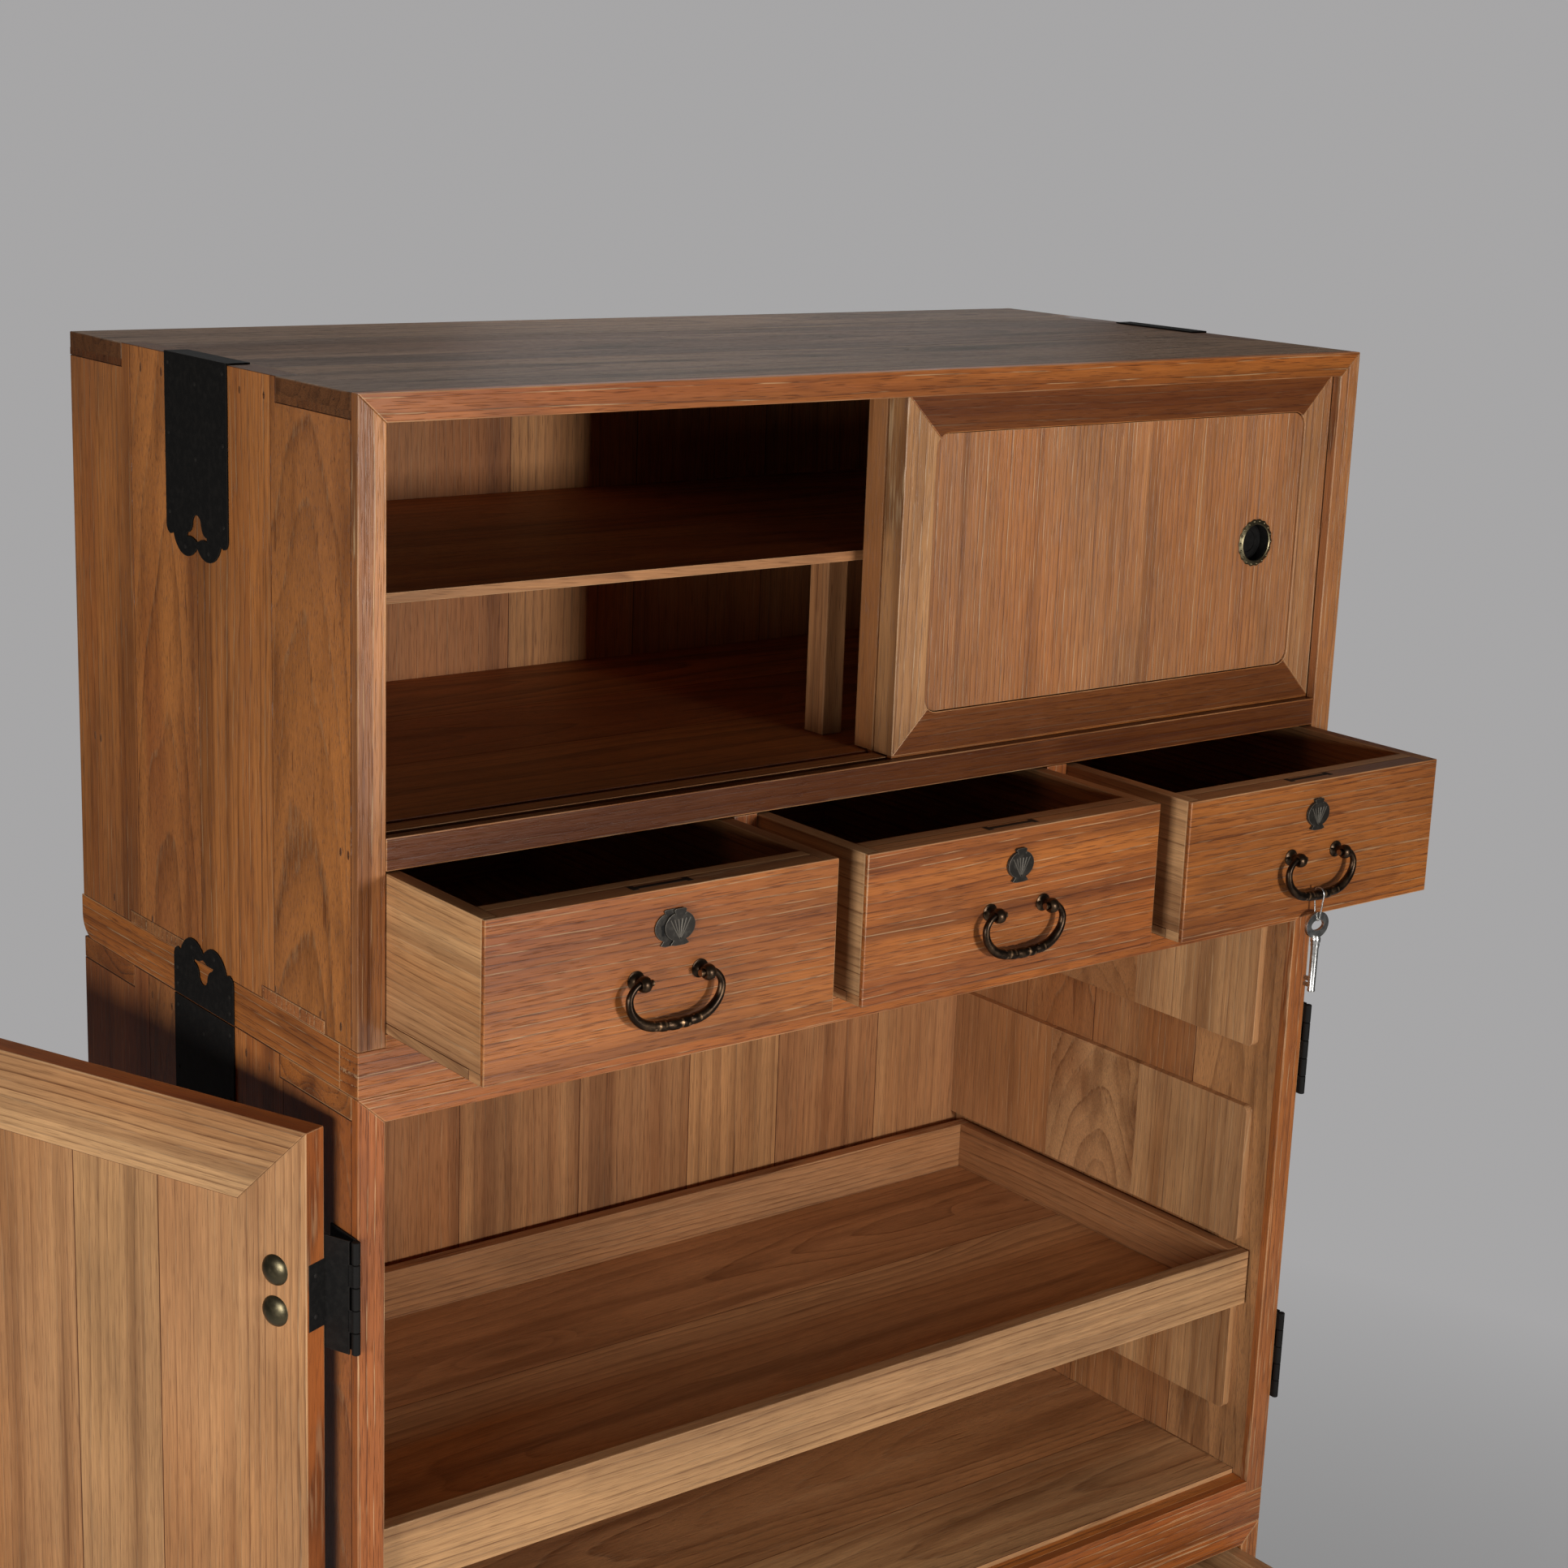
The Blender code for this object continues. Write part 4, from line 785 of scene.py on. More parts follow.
def mitred(x, z, width, radius=0.0):
    """The four mitred members of a frame, as (outline, way of the grain); radius rounds inside."""
    outer = rectangle(x, z)
    corners = round_corners(inset(x, width), inset(z, width), radius)
    members = []
    for index in range(4):
        here, after = corners[index], corners[(index + 1) % 4]
        inner = list(reversed(after[:len(after) // 2 + 1])) + list(reversed(here[len(here) // 2:]))
        members.append(([outer[index], outer[(index + 1) % 4]] + inner, "XZ"[index % 2]))
    return members


def case_side(case, side, base_z, floor_z, top_z, runners=()):
    """One side of a case: glued upright planks, fingered into the top and over the base's tongues."""
    sign = SIDES[side]
    node = f"{case}_{side}_side"
    piece = Piece(f"{node}_planks", "face_wood")
    foot = base_z + BASE_H + SEAT
    low_steps = []
    reached = CARCASS_FRONT
    for start, end in tongue_spans():
        low_steps += [(reached, start - SEAT, foot), (start - SEAT, end + SEAT, floor_z + SEAT)]
        reached = end + SEAT
    low_steps.append((reached, BACK, foot))
    shoulder = top_z - TOP_T - SEAT
    first, last = inset(TOP_FINGER, SEAT)
    high_steps = [(CARCASS_FRONT, first, shoulder), (first, last, top_z), (last, BACK, shoulder)]

    def stain(normal):
        if normal.z > 0.7:
            return SIDE_END_GRIME
        return SIDE_STAIN if normal.x * sign > 0.3 else SIDE_INNER_STAIN

    x = mirrored(sign, INNER_X, HALF_W)
    for index, y in enumerate(plank_spans((CARCASS_FRONT, BACK), 4, piece.dice)):
        cut = "flat" if index in (0, 2) else "rift"
        piece.drawn(strip(low_steps, high_steps, *y), "X", *x, "Z", cut, SEAM_EDGE, stain, seam=True)
    x = mirrored(sign, INNER_X - RUNNER_T, INNER_X)
    for z in runners:
        spans = plank_spans((FRONT + RUNNER_SETBACK, INNER_BACK - SEAT), 3, piece.dice)
        for index, y in enumerate(spans):
            outline = rectangle(y, z) if index else runner_end(y, z)
            cut = "flat" if index == 1 else "rift"
            piece.drawn(outline, "X", *x, "Z", cut, FINE_EDGE, 0.05)
    piece.done("face_wood", node)


def runner_end(y, z):
    """The foremost plank of a tray runner, with round corners at the front."""
    centre_y = y[0] + RUNNER_ROUND
    low, high = inset(z, RUNNER_ROUND)
    top = quarter(centre_y, high, RUNNER_ROUND, 0.5, 4)
    bottom = quarter(centre_y, low, RUNNER_ROUND, 1.0, 4)
    return [(y[1], z[0]), (y[1], z[1])] + top + bottom


def middle_runners():
    """Heights of the tray runners on a side; the topmost reaches the case's top."""
    spans = []
    low = MIDDLE_FLOOR_Z + RUNNER_GAP
    for height in RUNNER_HEIGHTS:
        spans.append((low, low + height))
        low += height + RUNNER_GAP
    return spans + [(low, MIDDLE_TOP - TOP_T - SEAT)]


def case_top(case, top_z, look, grooves=()):
    """The top of a case: boards along the front, notched at the ends round the sides' fingers."""
    node = f"{case}_top_board"
    piece = Piece(f"{node}_planks", look)
    stain = facing("Z", 1, 1.0, 0.0) if look == "weathered_wood" else 1.0
    first, last = TOP_FINGER
    inner = INSIDE[1]
    steps = [(CARCASS_FRONT, first, HALF_W), (first, last, inner), (last, BACK, HALF_W)]
    mirror = [(a, b, -reach) for a, b, reach in steps]
    bottom = top_z - TOP_T + (TRACK_DEPTH if grooves else 0.0)
    spare = bottom if grooves else None
    for span in plank_spans((CARCASS_FRONT, BACK), 3, piece.dice):
        outline = [(x, y) for y, x in strip(mirror, steps, *span)]
        piece.drawn(outline, "Z", bottom, top_z, "X", "flat", EDGE, stain, spare=spare)
    if grooves:
        under = (top_z - TOP_T, bottom)
        edges = [CARCASS_FRONT]
        for front in grooves:
            edges += [front, front + TRACK_W]
        edges.append(BACK)
        for start, end in zip(edges[0::2], edges[1::2]):
            if end - start > SLIVER:
                piece.slab(INSIDE, (start, end), under, "X", stain=0.0, edge=FINE_EDGE)
        for sign in SIDES.values():
            for y in ((CARCASS_FRONT, first), (last, BACK)):
                piece.slab((sign * inner, sign * HALF_W), y, under, "X", stain=0.0, edge=0.0)
    piece.done(look, node)


def case_base(case, base_z, floor_z, sill=None):
    """The bottom of a case: front rail, two skids, the floor boards and their tongues."""
    node = f"{case}_bottom_board"
    piece = Piece(f"{node}_boards", "face_wood")
    foot = base_z + BASE_H
    rail_end = FRONT + BASE_RAIL_D
    piece.slab(WHOLE, (FRONT, rail_end), (base_z, foot), "X", aged=BASE_RAIL_DARKENING)
    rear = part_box(node)[1].y
    for sign in SIDES.values():
        outline = [(rail_end, base_z)]
        outline += quarter(rear - SKID_ROUND, base_z + SKID_ROUND, SKID_ROUND, 1.5)
        outline += [(rear, foot), (rail_end, foot)]
        piece.drawn(outline, "X", *mirrored(sign, HALF_W - SKID_W, HALF_W), "Y")
        for y in tongue_spans():
            piece.slab(mirrored(sign, INNER_X, HALF_W), y, (foot, floor_z), "X", stain=0.75)
    front_z = (foot, sill or floor_z)
    piece.slab(inset(OPENING, SEAT), (FRONT, CARCASS_FRONT), front_z, "X", edge=FINE_EDGE)
    ledge = CARCASS_FRONT
    if sill:
        ledge = FRONT + DOOR_T + DOOR_CLEAR
        piece.slab(INSIDE, (CARCASS_FRONT, ledge), front_z, "X", edge=FINE_EDGE)
    piece.planks(INSIDE, (ledge, BACK), (foot, floor_z), "X", "Y", 3, stain=0.1)
    piece.done("face_wood", node)


def case_back(case, floor_z, top_z, inside):
    """The back of a case, of upright planks, stained on the inside as far as is given."""
    node = f"{case}_back"
    piece = Piece(f"{node}_planks", "pale_wood")
    z = (floor_z + SEAT, top_z - TOP_T - SEAT)
    stain = facing("Y", 1, 0.5, inside)
    piece.planks(INSIDE, (INNER_BACK, BACK), z, "Z", "X", 7, "rift", stain)
    piece.done("pale_wood", node)


def top_rail(piece, top_z):
    """The rail along the top of a case's facing, mitred at its ends."""
    under = top_z - TOP_RAIL_H
    outline = [(-HALF_W, top_z), (-OPENING_X, under), (OPENING_X, under), (HALF_W, top_z)]
    piece.drawn(outline, "Y", *FACE, "X")


def stile(piece, sign, foot, top_z, stain=1.0):
    """An upright of a case's facing, mitred to the top rail."""
    outline = [(sign * HALF_W, foot), (sign * OPENING_X, foot)]
    outline += [(sign * OPENING_X, top_z - TOP_RAIL_H), (sign * HALF_W, top_z)]
    piece.drawn(outline, "Y", *FACE, "Z", stain=stain)


def face_frame(case, foot, top_z, mid_rails=()):
    """The facing of a case: two stiles mitred to the top rail, and rails between them."""
    node = f"{case}_face_frame"
    piece = Piece(f"{node}_members", "face_wood")
    top_rail(piece, top_z)
    # The stiles are stained less than the rails, so paler: a painted sheen
    for sign in SIDES.values():
        stile(piece, sign, foot + SEAT, top_z, STILE_SHEEN_STAIN[case])
    for z in mid_rails:
        # Painted shade darkens the mid rail
        piece.slab(OPENING, FACE, z, "X", aged=MID_RAIL_SHADE)
    piece.done("face_wood", node)


def compartment():
    """The upper compartment: grooved floor, shelf on its post, and dividers between the drawers."""
    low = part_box("compartment_floor")[0].z
    sunk = MID_RAIL_TOP - TRACK_DEPTH
    shown = (sunk, MID_RAIL_TOP)
    floor_back = INNER_BACK - SEAT
    first, second = TRACK_FRONTS
    piece = Piece("compartment_floor_boards", "pale_wood")
    piece.slab(INSIDE, (CARCASS_FRONT, floor_back), (low, sunk), "X", edge=FINE_EDGE, stain=0.4)
    piece.slab(INSIDE, (first + TRACK_W, second), shown, "X", edge=FINE_EDGE, stain=0.6)
    piece.planks(INSIDE, (second + TRACK_W, floor_back), shown, "X", "Y", 3, stain=0.8)
    piece.done("pale_wood", "compartment_floor")

    piece = Piece("shelf_board", "pale_wood")
    (x0, y0, z0), (x1, y1, z1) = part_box("shelf")
    under = z1 - SHELF_T
    stain = facing("Z", 1, 0.7, 0.3)
    piece.planks((x0, x1), (y0, y1), (under, z1), "X", "Y", 2, stain=stain, seam=False)
    post_y = FRONT + POST_SETBACK
    piece.slab((-POST_HALF_W, POST_HALF_W), (post_y, post_y + POST_D), (z0, under), "Z", stain=0.4)
    piece.done("pale_wood", "shelf")

    for side in SIDES:
        node = f"drawer_divider_{side}"
        piece = Piece(f"{node}_board", "face_wood")
        (x0, y0, z0), (x1, y1, z1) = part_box(node)
        piece.slab((x0, x1), (y0, CARCASS_FRONT), (z0, MID_RAIL_BOTTOM - SEAT), "Z")
        piece.slab((x0, x1), (CARCASS_FRONT, y1), (z0, z1), "Y", stain=0.2)
        piece.done("face_wood", node)


def sliding_door(name, pull_sign):
    """A framed sliding door: mitred members, a sunk panel with upright lines, and tongues."""
    (x0, y0, foot), (x1, y1, head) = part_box(name)
    x = (x0, x1)
    z = inset((MID_RAIL_TOP, TOP_Z - TOP_T), SLIDER_CLEAR)
    piece = Piece(f"{name}_members", "face_wood", name)
    for outline, along in mitred(x, z, SLIDER_FRAME_W, SLIDER_ROUND):
        # Painted shade darkens the rails; the stiles are stained less, so paler: a painted sheen
        stain, aged = (1.0, SLIDER_RAIL_SHADE) if along == "X" else (SLIDER_STILE_SHEEN_STAIN, 0.0)
        piece.drawn(outline, "Y", y0, y1, along, edge=SLIDER_EDGE, stain=stain, aged=aged)
    for span in ((foot, z[0]), (z[1], head)):
        piece.slab(x, (y0, y0 + SLIDER_TONGUE_T), span, "X", edge=FINE_EDGE)
    panel = inset(x, SLIDER_FRAME_W), inset(z, SLIDER_FRAME_W)
    shown = [inset(limits, PANEL_GAP) for limits in panel]
    outline = sum(round_corners(*panel, SLIDER_ROUND), [])
    shown_outline = sum(round_corners(*shown, SLIDER_ROUND - PANEL_GAP), [])
    edge = x1 if pull_sign > 0 else x0
    centre = Vector((edge - pull_sign * PULL_FROM_EDGE, y0 + SLIDER_SINK, (z[0] + z[1]) / 2))
    hole_r = PULL_CUP_R + PULL_HOLE_CLEAR
    hole = oval(centre.x, centre.z, hole_r, hole_r, 32)
    seam = y0 + SLIDER_SINK + PULL_CUP_DEPTH + PULL_HOLE_CLEAR
    piece.drawn(shown_outline, "Y", y0 + SLIDER_SINK, seam, "Z", edge=FINE_EDGE,
                stain=SLIDER_PANEL_STAIN, holes=[hole], fine=1.5)
    piece.drawn(outline, "Y", seam, y1 - SLIDER_BACK_SINK, "Z", edge=FINE_EDGE, stain=0.5)
    piece.done("face_wood", name)
    finger_pull(f"{name}_pull", centre, name)


def finger_pull(node, centre, body):
    """A brass cup with a beaded rim, let into the panel, and its black lining."""
    rim = Piece(f"{node}_rim", "brass", body)
    cup_r, rim_r, deep = PULL_CUP_R, PULL_RIM_R, PULL_CUP_DEPTH
    top = -SEAT - 0.0012
    profile = [(cup_r, 0.0), (cup_r, top), (cup_r + 0.0008, top - 0.0004), (cup_r + 0.0016, top),
               (rim_r - 0.0012, top + 0.0005), (rim_r, -SEAT - 0.0003), (rim_r, -SEAT),
               (cup_r + 0.001, -SEAT)]

    def scallop(angle, index):
        return 0.0005 * math.cos(PULL_BEADS * angle) if index in (5, 6) else 0.0

    rim.lathe(profile, "Y", centre, 72, 0.08, closed=True, ripple=scallop)
    dome = [(0.0, -0.0017), (0.0007, -0.0015), (0.0012, -0.0009), (0.0013, 0.0), (0.0, 0.0)]
    reach = cup_r + 0.0029
    for bead in range(PULL_BEADS):
        angle = 2 * math.pi * bead / PULL_BEADS
        spot = centre + Vector((reach * math.cos(angle), -SEAT, reach * math.sin(angle)))
        rim.lathe(dome, "Y", spot, 10, 0.3)
    rim.done("brass", node)
    cup = Piece(f"{node}_cup", "iron", body)
    wall = cup_r + 0.0009
    profile = [(0.0, deep), (0.0095, deep), (0.0100, deep - 0.0008), (0.0108, deep - 0.0008),
               (0.0113, deep), (cup_r - 0.0012, deep), (cup_r - 0.0002, deep - 0.0012),
               (cup_r - 0.0002, 0.0), (wall, 0.0), (wall, deep + 0.001), (0.0, deep + 0.001)]
    cup.lathe(profile, "Y", centre, 48, 0.0)
    cup.done("iron", node)


def bail(node, body, centre):
    """The swinging bar of a handle: ends turned into the eyes, leaves cast along its thick middle."""
    half = BAIL_SPACING / 2
    widest = half + BAIL_BULGE
    right = [
        (half - BAIL_END_REACH, 0.0),
        (half + BAIL_END_REACH * 0.8, 0.0),
        (widest, -BAIL_DROP * 0.27),
        (widest * 0.92, -BAIL_DROP * 0.64),
        (half * 0.86, -BAIL_DROP * 0.92),
    ]
    outline = [(-x, z) for x, z in right] + [(0.0, -BAIL_DROP)] + list(reversed(right))
    points = smooth_curve([Vector((x, 0.0, z)) for x, z in outline], 14)
    radii = []
    for point in points:
        depth = min(1.0, max(0.0, -point.z / BAIL_DROP))
        radii.append((BAIL_END_R + (BAIL_MID_R - BAIL_END_R) * depth ** 1.5) * BAIL_FULLNESS)
    carved = half * 0.80
    pace = BAIL_LEAVES * math.pi / carved

    def surface(index, angle):
        x = points[index].x
        fade = max(0.0, 1.0 - (abs(x) / carved) ** 4)
        leaf = math.sin(pace * x + 1.3 * math.sin(2 * angle))
        return radii[index] * (1.0 + fade * (-0.10 if leaf > 0.25 else 0.04))

    piece = Piece(f"{node}_bar", "bronze", body)
    bm = tube([point + centre for point in points], surface, 24)
    worn = set()
    for face in bm.faces:
        x = face.calc_center_median().x - centre.x
        if abs(x) < carved and face.normal.y < -0.2 and 0.0 < math.sin(pace * x) < 0.5:
            worn.add(face)
    piece.add(bm, worn=worn, smooth=True)
    knob = [(0.0, -0.0006), (0.0016, -0.0004), (0.0024, 0.0), (0.0024, 0.0012), (0.0, 0.0012)]
    for sign in SIDES.values():
        spot = centre + Vector((sign * (half - BAIL_END_REACH), 0.0, 0.0))
        piece.lathe([(radius, -sign * along) for radius, along in knob], "X", spot, 16, 0.8)
    piece.done("bronze", node)


def bail_eyes(name, body, centre, node):
    """The two eyes of a handle: rose, neck and a knob-like ring."""
    piece = Piece(name, "bronze", body)
    half = EYE_W / 2
    ring = [(EYE_BORE_R, -half), (EYE_R * 0.72, -half), (EYE_R * 0.93, -half * 0.62), (EYE_R, 0.0),
            (EYE_R * 0.93, half * 0.62), (EYE_R * 0.72, half), (EYE_BORE_R, half)]
    tip, wood_y = EYE_BORE_R + 0.0012, BAIL_STANDOFF
    stem = [(0.0, tip), (EYE_NECK_R, tip), (EYE_NECK_R, wood_y - 0.003),
            (EYE_ROSE_R * 0.72, wood_y - EYE_ROSE_T), (EYE_ROSE_R, wood_y - EYE_ROSE_T / 2),
            (EYE_ROSE_R, wood_y), (0.0, wood_y)]
    for sign in SIDES.values():
        pivot = centre + Vector((sign * BAIL_SPACING / 2, 0.0, 0.0))
        piece.lathe(ring, "X", pivot, 24, 0.10, closed=True)
        piece.lathe(stem, "Y", pivot, 24, 0.05)
    piece.done("bronze", node)


def plate_outline(centre_x, centre_z):
    """A broad round plate with a small tab above and a flared foot below."""
    w, h = PLATE_HALF_W, PLATE_HALF_H
    right = [(0.30 * w, h), (0.42 * w, 0.92 * h), (0.32 * w, 0.71 * h)]
    start, end = math.radians(66), math.radians(-58)
    for step in range(13):
        angle = start + (end - start) * step / 12
        right.append((w * math.cos(angle) * 0.995, 0.04 * h + 0.80 * h * math.sin(angle)))
    right += [(0.42 * w, -0.68 * h), (0.62 * w, -0.92 * h), (0.32 * w, -0.99 * h)]
    return [(centre_x + u, centre_z + v) for u, v in both_halves(right)]


def keyhole_plates(side, centre_x, front_y, z):
    """The lock plate and its keyhole, the lock's edge plates, and the engraved sliding cover."""
    node = f"{side}_keyhole_plate"
    body = f"{side}_drawer"
    y = front_y - SEAT
    piece = Piece(f"{node}_sheet", "pewter", body)
    piece.plate(plate_outline(centre_x, z), "Y", y - PLATE_T, y)
    piece.done("iron", node)

    # The keyhole is a dark iron shape in front of the plate: painted shade where the hole would be
    piece = Piece(f"{node}_hole", "iron", body)
    slot = arc(((-0.0008, -0.0010), (0.0, 0.0028), (0.0008, -0.0010)), 12)
    slot += [(0.0013, -0.0052), (-0.0013, -0.0052)]
    outline = [(centre_x - KEYHOLE_ASIDE + u, z + v) for u, v in slot]
    piece.add(prism(outline, "Y", y - PLATE_T - 0.0001, y - PLATE_T / 2))
    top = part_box(f"{side}_drawer_front")[1].z
    ear_y = (front_y + 0.0075, front_y + 0.0165)
    for sign in SIDES.values():
        ear = sorted((centre_x + sign * LOCK_STRIKE, centre_x + sign * LOCK_REACH))
        piece.sheet(ear, ear_y, (top - LOCK_DEPTH, top + 0.0002))
    strike = (centre_x - LOCK_STRIKE, centre_x + LOCK_STRIKE)
    piece.sheet(strike, inset(ear_y, 0.002), (top - LOCK_DEPTH, top + 0.00015))
    piece.done("iron")

    node = f"{side}_keyhole_cover"
    low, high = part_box(node)
    middle = (low.x + high.x) / 2
    face_y = high.y - PLATE_T
    piece = Piece(f"{node}_sheet", "pewter", f"{side}_cover")
    piece.plate(plate_outline(middle, z), "Y", face_y, high.y, stain=0.05)
    root = Vector((middle, face_y, z - 0.0085))
    for index in range(FAN_LINES):
        spread = 0.0095 * (-0.9 + 1.8 * index / (FAN_LINES - 1))
        path = []
        for step in range(9):
            t = step / 8
            path.append(root + Vector((spread * t ** 0.8, 0.0, 0.0165 * t * (1 - 0.12 * t))))
        piece.add(tube(path, FAN_LINE_R, 6), stain=1.0, smooth=True)
    piece.done("iron", node)


def small_drawer(side):
    """One small drawer: lapped box, front with a lock plate, and its handle."""
    body = f"{side}_drawer"
    node = f"{side}_drawer_front"
    (x0, y0, z0), (x1, y1, z1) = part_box(f"{side}_drawer_box")
    wall = DRAWER_WALL_T
    back_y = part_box(node)[1].y
    front_y = back_y - DRAWER_FRONT_T
    lap_y = front_y + DRAWER_LAP
    sole = z0 + DRAWER_BOTTOM_T
    inner0, inner1 = inset((x0, x1), wall)
    piece = Piece(f"{side}_drawer_box_boards", "pale_wood", body)
    for x in ((x0, inner0), (inner1, x1)):
        piece.slab(x, (lap_y, y1), (sole, z1), "Y", stain=DRAWER_BOX_STAIN)
        piece.slab(x, (lap_y, y0), (z0, sole), "Y", stain=DRAWER_BOX_STAIN, edge=FINE_EDGE)
    for y in ((y0, y0 + wall), (y1 - wall, y1)):
        piece.slab((inner0, inner1), y, (sole, z1), "X", stain=DRAWER_BOX_STAIN)
    piece.planks((x0, x1), (y0, y1), (z0, sole), "Y", "X", 2, stain=0.0)
    piece.done("pale_wood", f"{side}_drawer_box")

    piece = Piece(f"{node}_board", "face_wood", body)
    outline = [(x0, front_y), (x1, front_y), (x1, lap_y), (inner1, lap_y), (inner1, back_y)]
    outline += [(inner0, back_y), (inner0, lap_y), (x0, lap_y)]
    stain = facing("Z", 1, 0.55, 1.0)
    piece.drawn(outline, "Z", z0, z1, "X", stain=stain, aged=DRAWER_DARKENING[side])
    piece.done("face_wood", node)
    centre = Vector(((x0 + x1) / 2, front_y - BAIL_STANDOFF, z0 + BAIL_ABOVE_BOTTOM))
    bail_eyes(f"{node}_eyes", body, centre, node)
    bail(f"{side}_drawer_bail", f"{side}_bail", centre)
    keyhole_plates(side, (x0 + x1) / 2, front_y, z1 - PLATE_BELOW_TOP)


def key():
    """The key on its loop of wire, hung from the right drawer's bail."""
    low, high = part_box("key")
    bail_low, bail_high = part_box("right_drawer_bail")
    x = (low.x + high.x) / 2
    bar = Vector((x, (bail_low.y + bail_high.y) / 2, bail_high.z - BAIL_END_R - BAIL_DROP))
    bow_z = bar.z - BAIL_MID_R - WIRE_L - KEY_BOW[1]
    piece = Piece("key_on_wire", "nickel", "key")
    half = KEY_T / 2
    hole = oval(x, bow_z, *KEY_BOW_HOLE)
    piece.plate(oval(x, bow_z, *KEY_BOW), "Y", bar.y - half, bar.y + half, 0.0007, 0.5, [hole])
    head = bow_z - KEY_BOW[1]
    foot = head - KEY_SHAFT_L
    shaft = [(0.0, head + 0.003), (0.0034, head + 0.0024), (0.0043, head), (0.0043, head - 0.003),
             (0.0036, head - 0.0045), (0.0039, head - 0.006), (0.0034, head - 0.0085),
             (0.0031, foot + 0.002), (0.0034, foot + 0.0012), (0.0032, foot), (0.0016, foot),
             (0.0015, foot + 0.004), (0.0, foot + 0.004)]
    piece.lathe(shaft, "Z", (bar.x, bar.y, 0.0), 24, 0.6)
    bit = rectangle((x - KEY_BIT_HALF_T, x + KEY_BIT_HALF_T), (bar.y, bar.y + KEY_BIT_REACH))
    for start, end in ((0.003, 0.0065), (0.0082, 0.012)):
        piece.plate(bit, "Z", foot + start, foot + end, stain=0.5)
    top_r = BAIL_MID_R + WIRE_R + 0.0008
    low_r = half + WIRE_R + 0.0006
    low_z = bow_z + KEY_BOW_HOLE[1] + KEY_T - WIRE_R * 0.6
    path = []
    for centre_z, radius, first, steps in ((bar.z, top_r, 0, 16), (low_z, low_r, 1, 12)):
        for step in range(steps + 1):
            angle = math.pi * (first + step / steps)
            spoke = Vector((0.0, math.cos(angle), math.sin(angle)))
            path.append(Vector((bar.x, bar.y, centre_z)) + spoke * radius)
    piece.add(tube(path, WIRE_R, 10, closed=True), stain=0.4, smooth=True)
    piece.done("nickel", "key")


def tray():
    """The flat tray: lapped rims round a bottom of two boards."""
    (x0, y0, z0), (x1, y1, z1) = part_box("tray")
    rim = TRAY_RIM_T
    x, y = inset((x0, x1), rim), inset((y0, y1), rim)
    piece = Piece("tray_boards", "pale_wood", "tray")
    for limits in ((y0, y[0]), (y[1], y1)):
        piece.slab((x0, x1), limits, (z0, z1), "X", stain=TRAY_STAIN)
    for limits in ((x0, x[0]), (x[1], x1)):
        piece.slab(limits, y, (z0, z1), "Y", stain=TRAY_STAIN)
    piece.planks(x, y, (z0, z0 + TRAY_BOTTOM_T), "X", "Y", 2, stain=0.0)
    piece.done("pale_wood", "tray")


def hinge_turn(side):
    """The axis of a door's hinges, and the matrix that swings the door from shut to its rest."""
    sign = SIDES[side]
    axis = Vector((sign * (HALF_W + HINGE_AXIS_OUT), FRONT - HINGE_AXIS_OUT, 0.0))
    swing = Matrix.Rotation(sign * DOOR_REST[side], 4, "Z")
    return axis, Matrix.Translation(axis) @ swing @ Matrix.Translation(-axis)


def hinged_door(side):
    """A framed door: mitred members round a panel of upright planks, pale on its inner face."""
    sign = SIDES[side]
    body = f"{side}_door"
    z = inset((MIDDLE_FLOOR_Z - SILL_STEP, MIDDLE_TOP - TOP_RAIL_H), DOOR_CLEAR)
    axis, turn = hinge_turn(side)
    outer = sign * (OPENING_X - DOOR_CLEAR)
    x = sorted((outer, sign * DOOR_MEETING_GAP))
    y = (FRONT, FRONT + DOOR_T)
    piece = Piece(f"{body}_members", "pale_wood", body, turn)
    for outline, along in mitred(x, z, DOOR_FRAME_W):
        piece.drawn(outline, "Y", *y, along, stain=facing("Y", 1, 0.06, 1.0))
    panel = inset(x, DOOR_FRAME_W), inset(y, DOOR_SINK), inset(z, DOOR_FRAME_W)
    piece.planks(*panel, "Z", "X", 4, "rift", facing("Y", 1, 0.24, 1.0))
    piece.done("pale_wood", body)

    tacks = Piece(f"{body}_tacks", "brass", body, turn)
    dome = [(0.0, 0.0044), (0.0045, 0.0040), (0.0085, 0.0028), (0.0112, 0.0012), (0.0120, 0.0), (0.0, 0.0)]
    low, high = inset(z, HINGE_FROM_DOOR_END)
    for level, centre_z in (("upper", high), ("lower", low)):
        hinge(side, level, centre_z, outer, axis, turn)
        for offset in TACK_OFFSETS:
            spot = Vector((outer - sign * TACK_FROM_EDGE, y[1], centre_z + offset))
            tacks.lathe(dome, "Y", spot, 28, 0.1)
    tacks.done("brass")


